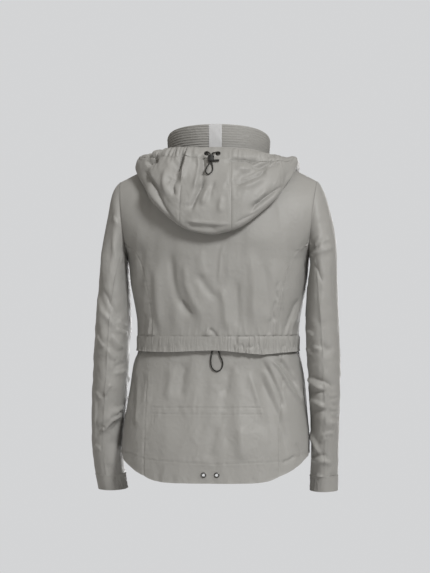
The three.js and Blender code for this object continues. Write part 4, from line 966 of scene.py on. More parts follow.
def side_height(sheet):
    swell = yoke_height(sheet)
    hands = sheet.left
    swell = swell + seam_dip(hands) + puckers(sheet.z, hands, 9, 0.5, 31) + seam_dip(sheet.top)
    return swell + seam_dip(sheet.right) + seam_dip(sheet.bottom) * 0.6


def casing_height(sheet):
    turn = lerp(-90, 90, sheet.grid_a)
    depth = read(CASING_GATHERS, "depth", turn)
    run = sheet.left
    flow = run + 2.2 * value_noise(run / 23, run * 0 + 1.5, 41)
    wave = 0.7 * pleats(flow / 5.2, sheet.bottom / 26, 43)
    wave = wave + value_noise(flow / 9, sheet.bottom / 40, 47)
    depth = depth * (0.5 + 0.7 * (0.5 + 0.5 * value_noise(run / 37, run * 0 + 7, 53)))
    belly = np.sin(np.pi * np.clip(sheet.bottom / sheet.bottom[:, -1:], 0, 1))
    lip = 1.6 * np.exp(-sheet.bottom / 7)
    pinch = np.exp(-((sheet.top - 0.3) / 1.8) ** 2)
    plump = 0.8 * belly * np.clip(depth, 0.1, 1.4) ** 1.5
    total = plump + 1.35 * depth * (0.2 + wave) * (1 - 0.8 * pinch) - 0.1 * pinch + lip
    return total + 0.3 * crumple(run, sheet.z, 3, 9)


def hem_facing(x):
    """The height of the hem's facing stitch."""
    return np.interp(x, (-174, -136, -6, 132, 170), (-596, -609, -613, -607, -598))


def lower_height(sheet):
    x, z = sheet.x, sheet.z
    seen = facing_back(sheet.y, 5, 40)
    fade = smooth((YOKE["tuck_top"] - z) / 30)
    total = seen * fade * (folds(LOWER_FOLDS, x, z) + 1.3 * creases(LOWER_CREASES, x, z))
    run = around_body(sheet)
    total = total + fade * fade_out(sheet) * 0.95 * crumple(run, z, 61, 15, 1.9)
    total = total + fade * 1.3 * value_noise(run / 21, z / 90, 67)
    hem = sheet.bottom
    total = total + puckers(run, hem, 16, 0.9, 71, 9) + 0.7 * np.exp(-hem / 2.4)
    facing = z - hem_facing(x)
    total = total + seen * stitch_dip(facing, 0.8) + seen * puckers(run, facing, 7, 0.5, 73, 6)
    return total


def lower_centre_height(sheet):
    side = np.minimum(sheet.left, sheet.right)
    total = lower_height(sheet) + seam_dip(side) + puckers(sheet.z, side, 8, 0.5, 79)
    inside = smooth((sheet.x + 99) / 6) * smooth((126 - sheet.x) / 4)
    for level in (-505, -517):
        total = total + inside * stitch_dip(sheet.z - level, 0.95)
    total = total + inside * puckers(sheet.x, sheet.z + 511, 12, 0.8, 83, 5)
    for _, eyelet_x in HEM_EYELETS:
        total = total * (1 - bell(np.hypot(sheet.x - eyelet_x, sheet.z - HEM_EYELET_Z), 7))
    pocket = smooth((-515 - sheet.z) / 3) * smooth((sheet.z + 540) / 3)
    return total + pocket * stitch_dip(sheet.x - 120, 0.5)


def lower_side_height(sheet):
    total = lower_height(sheet) + seam_dip(sheet.left)
    return total + puckers(sheet.z, sheet.left, 8, 0.5, 89) + seam_dip(sheet.right)


def front_height(sheet):
    x, z = sheet.x, sheet.z
    seen = smooth((-20 - sheet.y) / 30)
    total = seen * creases(FRONT_CREASES, x, z)
    run = around_body(sheet)
    rough = 0.95 * crumple(run, z, 97, 14, 2.1) + seen * 1.3 * value_noise(x / 19, z / 110, 101)
    total = total + fade_out(sheet) * rough
    edge = sheet.left
    total = total * smooth((edge + 4) / 26) + seam_dip(sheet.right) + seam_dip(sheet.top) * 0.6
    total = total + puckers(z, edge, 14, 0.8, 103, 8) + puckers(run, sheet.bottom, 16, 0.8, 107, 9)
    return total + stitch_dip(sheet.bottom - 25, 0.5) + stitch_dip(edge - 7, 0.4)


def rib_depth(turn):
    """The collar's rows are plump where it is drawn in on its left and flatter on its right."""
    return lerp(0.32, 1.0, smooth((turn + 12) / 30)) * np.where(np.abs(turn) > 100, 0.75, 1)


def collar_height(sheet):
    turn = lerp(-COLLAR_END, COLLAR_END, sheet.grid_a)
    up = sheet.bottom
    row = up / COLLAR["rib"]
    puff = np.abs(np.sin(np.pi * row)) ** 0.75
    total = COLLAR["puff"] * 1.5 * rib_depth(turn) * (puff - 0.55)
    ripple = value_noise(sheet.left / 5.2, np.floor(row) * 1.7 + 0.2 * row, 109)
    total = total + 0.42 * rib_depth(turn) * ripple * puff
    soft = value_noise(sheet.left / 33, up / 40, 113)
    total = total + 1.3 * soft * (0.4 + 0.6 * up / COLLAR["height"])
    return total - 0.6 * np.exp(-sheet.top / 0.9)


def sleeve_height(hand, start, end, from_, to):
    def height(sheet):
        down = lerp(start, end, sheet.grid_b)
        round_ = lerp(from_(down), to(down), sheet.grid_a)
        s = np.sin(round_ * DEGREE)
        rows = LEFT_SLEEVE_CREASES if hand > 0 else RIGHT_SLEEVE_CREASES
        other = RIGHT_SLEEVE_CREASES if hand > 0 else LEFT_SLEEVE_CREASES
        back = smooth((s - 0.15) / 0.5)
        front = smooth((-s - 0.15) / 0.5)
        total = back * (folds(SLEEVE_FOLDS, sheet.x, sheet.z) + creases(rows, sheet.x, sheet.z))
        total = total + front * creases(other, -sheet.x, sheet.z)
        girth = 58 * round_ * DEGREE
        seed = 127 if hand > 0 else 151
        inside = fade_out(sheet)
        total = total + 0.8 * inside * crumple(girth, sheet.z, seed, 13, 1.5)
        elbow = bell(down - 270, 110)
        ripple = value_noise(girth / 26 + down / 60, down / 15, seed + 3)
        total = total + (0.5 + 0.5 * elbow) * inside * ripple
        total = total * (0.35 + 0.65 * smooth(down / 22))
        return total + seam_dip(np.minimum(sheet.left, sheet.right)) + 0.8 * seam_dip(down)

    return height


def cuff_height(sheet):
    share = sheet.grid_a
    inner = smooth(1.6 - np.abs(share - 0.5) / 0.16)
    run, up = sheet.left, sheet.top
    wave = pleats(run / 3.3, sheet.bottom / 22, 163)
    folds_ = inner * (1.2 * wave + 0.5 * value_noise(run / 6.2, sheet.bottom / 25, 167))
    soft = 0.5 * value_noise(run / 14, sheet.bottom / 30, 173)
    plump = 0.9 * np.sin(np.pi * sheet.bottom / sheet.bottom[:, -1:]) * inner
    return folds_ * (0.5 + 0.5 * smooth(up / 6)) + soft + plump + stitch_dip(sheet.bottom - 1.5, 0.7)


def hood_relief(sheet, q):
    """Folds and creases lie only on the far layer, which the camera sees."""
    far = smooth((q - 0.55) / 0.15) * smooth((sheet.y - 20) / 20)
    fade = 1 - 0.6 * smooth((q - 0.85) / 0.15)
    return far * fade * 1.5 * (folds(HOOD_FOLDS, sheet.x, sheet.z) + creases(HOOD_CREASES, sheet.x, sheet.z))


def hood_height(start_turn, end_turn):
    def height(sheet):
        q = sheet.grid_b * HOOD["casing_start"]
        turn = lerp(start_turn, end_turn, sheet.grid_a)
        total = hood_relief(sheet, q)
        far = smooth((q - 0.5) / 0.12)
        run = turn * 2.0
        inside = fade_out(sheet)
        total = total + (0.25 + 0.75 * far) * inside * 1.3 * crumple(run, sheet.bottom, 179, 15, 1.3)
        total = total + far * inside * 1.6 * value_noise(run / 22, sheet.bottom / 34, 181)
        total = total + far * hood_gather(turn, sheet.top) * smooth(sheet.top / 2.5)
        inner = (start_turn == HOOD_SEAMS[1], end_turn == HOOD_SEAMS[0], start_turn == HOOD_SEAMS[0])
        if inner[0] or inner[2]:
            total = total + seam_dip(sheet.left) + puckers(sheet.bottom, sheet.left, 8, 0.6, 191)
        if inner[1] or inner[2]:
            total = total + seam_dip(sheet.right) + puckers(sheet.bottom, sheet.right, 8, 0.6, 193)
        return total * (0.2 + 0.8 * smooth(sheet.bottom / 18)) + seam_dip(sheet.top)

    return height


def gather_amount(turn):
    """The channel is drawn in tightly on its left and nearly plain at its middle."""
    plain = smooth(np.abs(turn - 1) / 8 - 1.2)
    side = np.where(turn > 0, 1.0, 0.45)
    return plain * side * (0.75 + 0.25 * np.cos(turn / 9.0)) * (1 - 0.75 * smooth((np.abs(turn) - 62) / 18))


def hood_gather(turn, below):
    """Gathers run down from the channel and open out."""
    wave = 0.7 * pleats(turn / 1.9, below / 55, 197) + 1.1 * value_noise(turn / 3.7, below / 60, 199)
    reach = 18 + 18 * value_noise(turn / 6, turn * 0 + 2, 211)
    return 3.2 * gather_amount(turn) * wave * np.exp(-((below / np.maximum(reach, 8)) ** 1.4))


def hood_casing_height(sheet):
    turn = lerp(-HOOD["end"], HOOD["end"], sheet.grid_a)
    amount = gather_amount(turn)
    up = np.clip(sheet.bottom / sheet.bottom[:, -1:], 0, 1)
    lean = 0.5 * value_noise(turn / 9, turn * 0 + 3, 223)
    wave = 0.9 * pleats(turn / 1.9 + lean * up, up * 0.4, 197) + 1.1 * value_noise(turn / 3.7, up * 0.5, 199)
    belly = np.sin(np.pi * up) ** 0.7
    base = hood_relief(sheet, lerp(HOOD["casing_start"], 1, sheet.grid_b))
    pinch = np.exp(-((sheet.bottom - 0.5) / 2.0) ** 2)
    total = base + (1.0 + 1.0 * amount) * belly + 3.8 * amount * wave * (0.3 + 0.7 * belly)
    plain = 0.3 * crumple(turn * 2, sheet.bottom, 227, 9) + 0.7 * value_noise(turn / 4.5, up * 0.6, 229)
    flat = np.minimum(bell(turn - 6, 2.4) + bell(turn + 3.6, 2.4), 1)
    return (total + plain) * (1 - flat) + 0.2 * flat - 0.3 * pinch


def centre_front(h):
    """The zip's line: h is 0 at the hem, 1 at the armpits, 2 at the collar seam, 3 at the collar's top."""
    h = np.asarray(h, float)
    bottom = hem_z(np.array(180.0))
    z = lerp(bottom, ARMPIT_Z, np.clip(h, 0, 1))
    low = place(0, ring(np.full_like(z, 180.0), z)[..., 1], z)
    middle = upper(0.0, np.clip(h - 1, 0, 1), -1)
    high = collar_point(np.full_like(z, 180.0), lerp(COLLAR["foot"], 1, np.clip(h - 2, 0, 1)))
    made = np.where((h <= 1)[..., None], low, np.where((h <= 2)[..., None], middle, high))
    made[..., 0] = 0
    return made


ZIP = {"tape_from": 0.4, "tape_to": 12, "tape_in": 1.9, "chain_out": 0.5, "pitch": 2.5}
ZIP_LINE = {"start": 0.015, "chain_end": 2.8, "tape_end": 2.98}
TOOTH = {"size": (3.4, 2.0, 1.15), "bevel": 0.28, "aside": 1.15, "sunk": 1.0}
POCKET_STITCHES = {"levels": (-505, -517), "left": 95, "right": 124}


def zip_place(x, h, offset):
    """A place x beside the zip's line, offset out from it."""
    d = 1e-3
    slope = centre_front(np.minimum(h + d, 3)) - centre_front(np.maximum(h - d, 0))
    normal = unit(place(0, -slope[..., 2], slope[..., 1]))
    bow = NECK["depth"] * (1 - np.sqrt(1 - (x / NECK["half"]) ** 2)) * smooth(h - 1)
    deeper = 1.4 * smooth((h - 1.88) / 0.1)
    made = centre_front(h) + normal * (offset - deeper)[..., None]
    made[..., 0] += x
    made[..., 1] += bow
    return made, normal


def sharpen_edges(mesh):
    """Keeps the cloth's face smooth right up to its cut edges."""
    used = np.empty(len(mesh.loops), np.int32)
    mesh.loops.foreach_get("edge_index", used)
    open_edges = np.bincount(used, minlength=len(mesh.edges)) == 1
    mesh.attributes.new("sharp_edge", "BOOLEAN", "EDGE").data.foreach_set("value", open_edges)


def grid_object(name, sheet, thick, material, holes=()):
    """Makes a cloth piece from its sheet: a thin shell whose outer face is the sheet's own."""
    columns, rows = sheet.grid_a.shape
    used = columns - 1 if sheet.loop else columns
    number = np.arange(used * rows).reshape(used, rows)
    i, j = np.meshgrid(np.arange(columns - 1), np.arange(rows - 1), indexing="ij")
    corners = [(i, j), (i + 1, j), (i + 1, j + 1), (i, j + 1)]
    if sheet.turned:
        corners = corners[::-1]
    faces = np.stack([number[a % used, b] for a, b in corners], -1).reshape(-1, 4)
    flat = np.stack([np.stack([sheet.left[a, b], sheet.bottom[a, b]], -1) for a, b in corners], -2)
    flat = flat.reshape(-1, 4, 2)
    points = sheet.points[:used].reshape(-1, 3).copy()
    for centre, normal, cut, radius in holes:
        away = np.linalg.norm(points[faces].mean(1) - centre, axis=1)
        gone = away < cut
        rim = np.intersect1d(faces[gone], faces[~gone])
        faces, flat = faces[~gone], flat[~gone]
        out = points[rim] - centre
        height = out @ normal
        plane = out - height[:, None] * normal
        points[rim] = centre + unit(plane) * radius + height[:, None] * normal * 0.5
    keep = np.unique(faces)
    index = np.full(len(points), -1)
    index[keep] = np.arange(len(keep))
    mesh = bpy.data.meshes.new(name)
    mesh.from_pydata((points[keep] * MM).tolist(), [], index[faces].tolist())
    mesh.uv_layers.new(name="UVMap").data.foreach_set("uv", (flat * MM).ravel())
    mesh.shade_smooth()
    sharpen_edges(mesh)
    mesh.materials.append(material)
    made = bpy.data.objects.new(name, mesh)
    bpy.context.scene.collection.objects.link(made)
    if thick:
        wall = made.modifiers.new("Wall", "SOLIDIFY")
        wall.thickness = thick
        wall.offset = -1
    return made


def cloth_piece(name, node, sheet, finish="shell", thick=None, holes=()):
    settings = bpy.context.scene.jacket_cloth
    wall = settings.thickness if thick is None else thick
    made = grid_object(name, sheet, wall, material(finish), holes)
    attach(made, GARMENT)
    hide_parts(node)
    SHEETS[name] = sheet
    return made


def socket(group, name, kind, direction, value=None):
    made = group.interface.new_socket(name=name, in_out=direction, socket_type=kind)
    if value is not None:
        made.default_value = value
    return made


def node(tree, kind, **values):
    made = tree.nodes.new(kind)
    for key, value in values.items():
        setattr(made, key, value)
    return made


def math_node(tree, operation, first, second=None):
    made = node(tree, "ShaderNodeMath", operation=operation)
    for slot_, value in ((0, first), (1, second)):
        if value is None:
            continue
        if isinstance(value, (int, float)):
            made.inputs[slot_].default_value = value
        else:
            tree.links.new(value, made.inputs[slot_])
    return made.outputs[0]


def new_group(name, inputs, outputs):
    group = bpy.data.node_groups.new(name, "ShaderNodeTree")
    for input_name, kind, value in inputs:
        socket(group, input_name, kind, "INPUT", value)
    for output_name in outputs:
        socket(group, output_name, "NodeSocketFloat", "OUTPUT")
    start = group.nodes.new("NodeGroupInput")
    end = group.nodes.new("NodeGroupOutput")
    return group, start, end


def make_crinkle():
    """Sharp little folds of crisp cloth, as a height."""
    group, start, end = new_group(
        "Crinkle",
        (("Vector", "NodeSocketVector", None), ("Scale", "NodeSocketFloat", 90.0)),
        ("Height",),
    )
    big = node(group, "ShaderNodeTexNoise", noise_type="RIDGED_MULTIFRACTAL")
    big.inputs["Detail"].default_value = 2.5
    big.inputs["Roughness"].default_value = 0.55
    group.links.new(start.outputs["Vector"], big.inputs["Vector"])
    group.links.new(start.outputs["Scale"], big.inputs["Scale"])
    small = node(group, "ShaderNodeTexNoise")
    small.inputs["Detail"].default_value = 3
    group.links.new(start.outputs["Vector"], small.inputs["Vector"])
    group.links.new(math_node(group, "MULTIPLY", start.outputs["Scale"], 3.1), small.inputs["Scale"])
    total = math_node(group, "ADD", big.outputs[0], math_node(group, "MULTIPLY", small.outputs[0], 0.3))
    group.links.new(total, end.inputs["Height"])
    return group


def make_weave():
    """Crossing threads, as a height."""
    group, start, end = new_group(
        "Weave",
        (("Vector", "NodeSocketVector", None), ("Threads", "NodeSocketFloat", 2400.0)),
        ("Height",),
    )
    parts = node(group, "ShaderNodeSeparateXYZ")
    group.links.new(start.outputs["Vector"], parts.inputs[0])
    waves = []
    for axis in (0, 1):
        turned = math_node(group, "MULTIPLY", parts.outputs[axis], start.outputs["Threads"])
        waves.append(math_node(group, "SINE", math_node(group, "MULTIPLY", turned, math.pi)))
    crossed = math_node(group, "MULTIPLY", waves[0], waves[1])
    group.links.new(math_node(group, "ABSOLUTE", crossed), end.inputs["Height"])
    return group


def make_mottle():
    """Slow uneven change, from 0 to 1."""
    group, start, end = new_group(
        "Mottle",
        (("Vector", "NodeSocketVector", None), ("Scale", "NodeSocketFloat", 14.0)),
        ("Amount",),
    )
    noise = node(group, "ShaderNodeTexNoise")
    noise.inputs["Detail"].default_value = 4
    group.links.new(start.outputs["Vector"], noise.inputs["Vector"])
    group.links.new(start.outputs["Scale"], noise.inputs["Scale"])
    group.links.new(noise.outputs[0], end.inputs["Amount"])
    return group


GROUPS = {"Crinkle": make_crinkle, "Weave": make_weave, "Mottle": make_mottle}


def use_group(tree, name, vector, **values):
    group = bpy.data.node_groups.get(name) or GROUPS[name]()
    made = node(tree, "ShaderNodeGroup", node_tree=group)
    tree.links.new(vector, made.inputs["Vector"])
    for key, value in values.items():
        made.inputs[key].default_value = value
    return made.outputs[0]


# colour, its darker and lighter ends, roughness, sheen, crinkle (scale, depth), weave (threads, depth)
CLOTHS = {
    "shell": ((0.318, 0.313, 0.297), (0.358, 0.353, 0.337), 0.52, 0.12, (95, 0.00055), (2600, 0.00003)),
    "collar_tape": ((0.56, 0.565, 0.575), (0.64, 0.645, 0.655), 0.42, 0.1, (60, 0.00008), (1500, 0.00006)),
    "zip_tape": ((0.27, 0.265, 0.245), (0.31, 0.30, 0.28), 0.75, 0.1, (60, 0.00005), (1300, 0.00008)),
    "thread": ((0.25, 0.245, 0.225), (0.31, 0.30, 0.28), 0.7, 0.1, (60, 0.00002), (3000, 0.00004)),
    "cord": ((0.020, 0.019, 0.017), (0.040, 0.038, 0.034), 0.85, 0.2, (200, 0.0001), (1500, 0.00015)),
}
# colour, metallic, roughness, scratches' scale
HARDS = {
    "black_plastic": ((0.018, 0.018, 0.018), 0.0, 0.38, 240),
    "black_metal": ((0.030, 0.029, 0.028), 0.7, 0.36, 240),
    "grey_metal": ((0.10, 0.098, 0.092), 0.9, 0.28, 240),
    "zip_metal": ((0.32, 0.315, 0.30), 1.0, 0.36, 240),
    "zip_teeth": ((0.24, 0.235, 0.22), 0.0, 0.42, 240),
}


def new_material(name):
    made = bpy.data.materials.new(name)
    made.use_nodes = True
    tree = made.node_tree
    shader = tree.nodes["Principled BSDF"]
    coordinates = node(tree, "ShaderNodeTexCoord")
    return made, tree, shader, coordinates


def mixed_colour(tree, amount, first, second):
    mix = node(tree, "ShaderNodeMix", data_type="RGBA")
    tree.links.new(amount, mix.inputs["Factor"])
    mix.inputs[6].default_value = (*first, 1)
    mix.inputs[7].default_value = (*second, 1)
    return mix.outputs[2]


def make_cloth_material(name):
    dark, light, roughness, sheen, crinkle, weave = CLOTHS[name]
    made, tree, shader, coordinates = new_material(name)
    object_place = coordinates.outputs["Object"]
    mottle = use_group(tree, "Mottle", object_place, Scale=16.0)
    tree.links.new(mixed_colour(tree, mottle, dark, light), shader.inputs["Base Color"])
    rough = node(tree, "ShaderNodeMapRange")
    rough.inputs["To Min"].default_value = roughness - 0.07
    rough.inputs["To Max"].default_value = roughness + 0.07
    tree.links.new(mottle, rough.inputs["Value"])
    tree.links.new(rough.outputs[0], shader.inputs["Roughness"])
    shader.inputs["Sheen Weight"].default_value = sheen
    shader.inputs["Sheen Roughness"].default_value = 0.4
    shader.inputs["Specular IOR Level"].default_value = 0.4
    threads = coordinates.outputs["UV"] if name in ("shell", "collar_tape", "zip_tape") else object_place
    small = use_group(tree, "Weave", threads, Threads=float(weave[0]))
    folds_ = use_group(tree, "Crinkle", object_place, Scale=float(crinkle[0]))
    height = math_node(
        tree,
        "ADD",
        math_node(tree, "MULTIPLY", folds_, crinkle[1]),
        math_node(tree, "MULTIPLY", small, weave[1]),
    )
    bump = node(tree, "ShaderNodeBump")
    bump.inputs["Distance"].default_value = 1.0
    bump.inputs["Strength"].default_value = 1.0
    tree.links.new(height, bump.inputs["Height"])
    tree.links.new(bump.outputs[0], shader.inputs["Normal"])
    return made


def make_hard_material(name):
    colour, metallic, roughness, scale = HARDS[name]
    made, tree, shader, coordinates = new_material(name)
    wear = use_group(tree, "Mottle", coordinates.outputs["Object"], Scale=float(scale))
    brighter = tuple(min(1, value * 1.35 + 0.004) for value in colour)
    tree.links.new(mixed_colour(tree, wear, colour, brighter), shader.inputs["Base Color"])
    rough = node(tree, "ShaderNodeMapRange")
    rough.inputs["To Min"].default_value = roughness - 0.1
    rough.inputs["To Max"].default_value = roughness + 0.12
    tree.links.new(wear, rough.inputs["Value"])
    tree.links.new(rough.outputs[0], shader.inputs["Roughness"])
    shader.inputs["Metallic"].default_value = metallic
    return made


def material(name):
    found = bpy.data.materials.get(name + "_finish")
    if found:
        return found
    made = make_cloth_material(name) if name in CLOTHS else make_hard_material(name)
    made.name = name + "_finish"
    return made


def smooth_path(points, step=0.5):
    """A dense smooth line through points, in millimetres."""
    points = np.asarray(points, float)
    count = int(np.linalg.norm(np.diff(points, axis=0), axis=1).sum() / step) + 2
    return along(points[None], np.linspace(0, 1, count))[0]


def cord_object(name, points, radius, nodes_):
    curve = bpy.data.curves.new(name, "CURVE")
    curve.dimensions = "3D"
    spline = curve.splines.new("POLY")
    spline.points.add(len(points) - 1)
    flat = np.concatenate([points * MM, np.ones((len(points), 1))], 1)
    spline.points.foreach_set("co", flat.ravel())
    curve.bevel_depth = radius * MM
    curve.bevel_resolution = 4
    curve.use_fill_caps = True
    curve.materials.append(material("cord"))
    made = bpy.data.objects.new(name, curve)
    bpy.context.scene.collection.objects.link(made)
    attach(made, GARMENT)
    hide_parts(*nodes_)
    return made


STOPPER = {"x": 4.6, "z": -22.6, "height": 15, "deep": 4.6, "seat": 0.25}
HOOD_EYELETS = (("left", 6.0), ("right", -3.6))
HEM_EYELETS = (("left", 18.2), ("right", -7.4))
HEM_EYELET_Z = -634.5
EYELET = {"bore": 2.7, "barrel": 3.3, "hole": 3.6, "rim": 5.4, "back": 4.8, "gap": 0.4, "plate": 0.8}


def on_channel(turn):
    """The place and normal of an eyelet in the hood's channel."""
    low, high = HOOD["casing_start"] + 0.004, (HOOD["casing_start"] + 1.004) / 2
    q = (low + high) / 2
    d = 1e-3
    turns = np.array([turn - 320 * d, turn, turn + 320 * d])
    spots = along(hood_sections(turns), np.array([low, q - d, q + d, high]))
    centre = (spots[1, 0] + spots[1, 3]) / 2
    normal = -unit(np.cross(spots[2, 1] - spots[0, 1], spots[1, 2] - spots[1, 1]))
    return centre, normal


def on_hem(x, z=HEM_EYELET_Z):
    """The place and normal of an eyelet in the hem."""
    turn = turn_of_x(np.array(x - read(TORSO, "shift", z)), z)
    across = lower_point(turn + 0.5, z) - lower_point(turn - 0.5, z)
    rise = lower_point(turn, z + 2.0) - lower_point(turn, z - 2.0)
    return lower_point(turn, np.array(z)), unit(np.cross(rise, across))


def stopper_frame():
    """The stopper's centre and its turn about X, as it lies on the slope of the hood."""
    seat, normal = hood_spot(STOPPER["x"], STOPPER["z"])
    centre = seat + normal * (STOPPER["deep"] + STOPPER["seat"])
    centre[0] = STOPPER["x"]
    return centre, math.atan2(normal[2], normal[1])


def by_stopper(x, y, z):
    centre, lean = stopper_frame()
    c, s = math.cos(lean), math.sin(lean)
    return centre + np.array([x, y * c - z * s, y * s + z * c])


def turned_piece(name, profile, sides, hollow=False):
    """A round piece about Z: a disc that is drawn out ring by ring along the profile of (radius, height)."""
    bpy.ops.object.select_all(action="DESELECT")
    radius, height = profile[0]
    bpy.ops.mesh.primitive_circle_add(
        vertices=sides, radius=radius * MM, fill_type="NGON", location=(0, 0, height * MM)
    )
    made = bpy.context.object
    made.name = name
    bpy.ops.object.transform_apply(location=True, rotation=True, scale=True)
    bpy.ops.object.mode_set(mode="EDIT")
    bpy.ops.mesh.select_mode(type="FACE")
    bpy.ops.mesh.select_all(action="SELECT")
    for next_radius, next_height in profile[1:]:
        bpy.ops.mesh.extrude_region_move(
            TRANSFORM_OT_translate={"value": (0, 0, (next_height - height) * MM)}
        )
        share = next_radius / radius
        bpy.ops.transform.resize(value=(share, share, 1), center_override=(0, 0, next_height * MM))
        radius, height = next_radius, next_height
    if hollow:
        bpy.ops.object.mode_set(mode="OBJECT")
        caps = [face for face in made.data.polygons if len(face.vertices) == sides]
        bpy.ops.object.mode_set(mode="EDIT")
        bpy.ops.mesh.select_all(action="DESELECT")
        bpy.ops.object.mode_set(mode="OBJECT")
        for face in made.data.polygons:
            face.select = len(face.vertices) == sides
        if len(caps) != 2:
            raise RuntimeError(f"{name}: {len(caps)} ends where 2 are wanted")
        bpy.ops.object.mode_set(mode="EDIT")
        bpy.ops.mesh.bridge_edge_loops()
    bpy.ops.mesh.select_all(action="SELECT")
    bpy.ops.mesh.normals_make_consistent(inside=False)
    bpy.ops.object.mode_set(mode="OBJECT")
    bpy.ops.object.shade_smooth()
    return made


def set_down(made, centre, direction=None, matrix=None):
    """Turns +Z to a direction and moves the origin to a place in millimetres, and keeps that as its form."""
    if matrix is None:
        matrix = Vector((0, 0, 1)).rotation_difference(Vector(direction)).to_matrix().to_4x4()
    made.matrix_world = Matrix.Translation(Vector(centre) * MM) @ matrix
    bpy.ops.object.select_all(action="DESELECT")
    made.select_set(True)
    bpy.context.view_layer.objects.active = made
    bpy.ops.object.transform_apply(location=True, rotation=True, scale=True)


def soften(made, width, segments=2):
    edge = made.modifiers.new("Edge", "BEVEL")
    edge.width = width * MM
    edge.segments = segments
    edge.limit_method = "ANGLE"
    edge.angle_limit = 35 * DEGREE


def trim(made, finish, node_, body=GARMENT):
    made.data.materials.clear()
    made.data.materials.append(material(finish))
    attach(made, body)
    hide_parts(node_)


def eyelet(name, node_, centre, normal, finish):
    e = EYELET
    inside = -1.5 - 1.0
    outline = (
        (e["bore"], e["gap"] + 0.42),
        (e["bore"] + 0.5, e["gap"] + 0.74),
        (e["bore"] + 1.15, e["gap"] + 0.8),
        (e["rim"] - 0.55, e["gap"] + 0.55),
        (e["rim"], e["gap"] + 0.12),
        (e["rim"] - 0.1, e["gap"]),
        (e["barrel"], e["gap"]),
        (e["barrel"], inside),
        (e["back"], inside),
        (e["back"], inside - 0.6),
        (e["back"] - 0.4, inside - e["plate"]),
        (e["bore"], inside - e["plate"]),
    )
    made = turned_piece(name, outline, 40, hollow=True)
    set_down(made, centre, direction=normal)
    trim(made, finish, node_)
    return made


def resampled(points, normals, pitch):
    steps = np.linalg.norm(np.diff(points, axis=0), axis=1)
    run = np.concatenate([[0], np.cumsum(steps)])
    count = max(2, int(run[-1] / pitch))
    at = (np.arange(count) + 0.5) * run[-1] / count

    def pick(values, where):
        return np.stack([np.interp(where, run, values[:, k]) for k in range(3)], -1)

    centre = pick(points, at)
    forward = unit(pick(points, at + 0.6) - pick(points, at - 0.6))
    return centre, forward, unit(pick(normals, at))


def stitch_rows(name, rows, length=2.2, radius=0.26):
    """Rows of stitches as one piece: each stitch is a short thread that dips into the cloth at its ends."""
    settings = bpy.context.scene.jacket_cloth
    pitch = settings.stitch_pitch / MM
    sides = 5
    points, faces = [], []
    for sheet, a, b in rows:
        if len(a) < 2:
            continue
        line, normals = sheet.at(a, b, 0.1)
        centre, forward, up = resampled(line, normals, pitch)
        across = unit(np.cross(up, forward))
        up = np.cross(forward, across)
        start = sum(len(part) for part in points)
        ring_ = []
        for end in (-1, 1):
            for k in range(sides):
                turn = 2 * math.pi * k / sides
                off = radius * (math.cos(turn) * across + math.sin(turn) * up)
                ring_.append(centre + forward * end * length * 0.28 + off)
        tips = [centre + forward * end * length / 2 - up * radius for end in (-1, 1)]
        stack = np.stack(ring_ + tips, 1)
        count = len(centre)
        points.append(stack.reshape(-1, 3))
        base = start + np.arange(count)[:, None] * (2 * sides + 2)
        local = []
        for k in range(sides):
            n = (k + 1) % sides
            local.append((k, n, sides + n))
            local.append((k, sides + n, sides + k))
            local.append((2 * sides, n, k))
            local.append((2 * sides + 1, sides + k, sides + n))
        faces.append((base[:, :, None] + np.array(local)[None]).reshape(-1, 3))
    points = np.concatenate(points)
    faces = np.concatenate(faces)
    mesh = bpy.data.meshes.new(name)
    mesh.from_pydata((points * MM).tolist(), [], faces.tolist())
    mesh.shade_smooth()
    mesh.materials.append(material("thread"))
    made = bpy.data.objects.new(name, mesh)
    bpy.context.scene.collection.objects.link(made)
    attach(made, GARMENT)
    return made


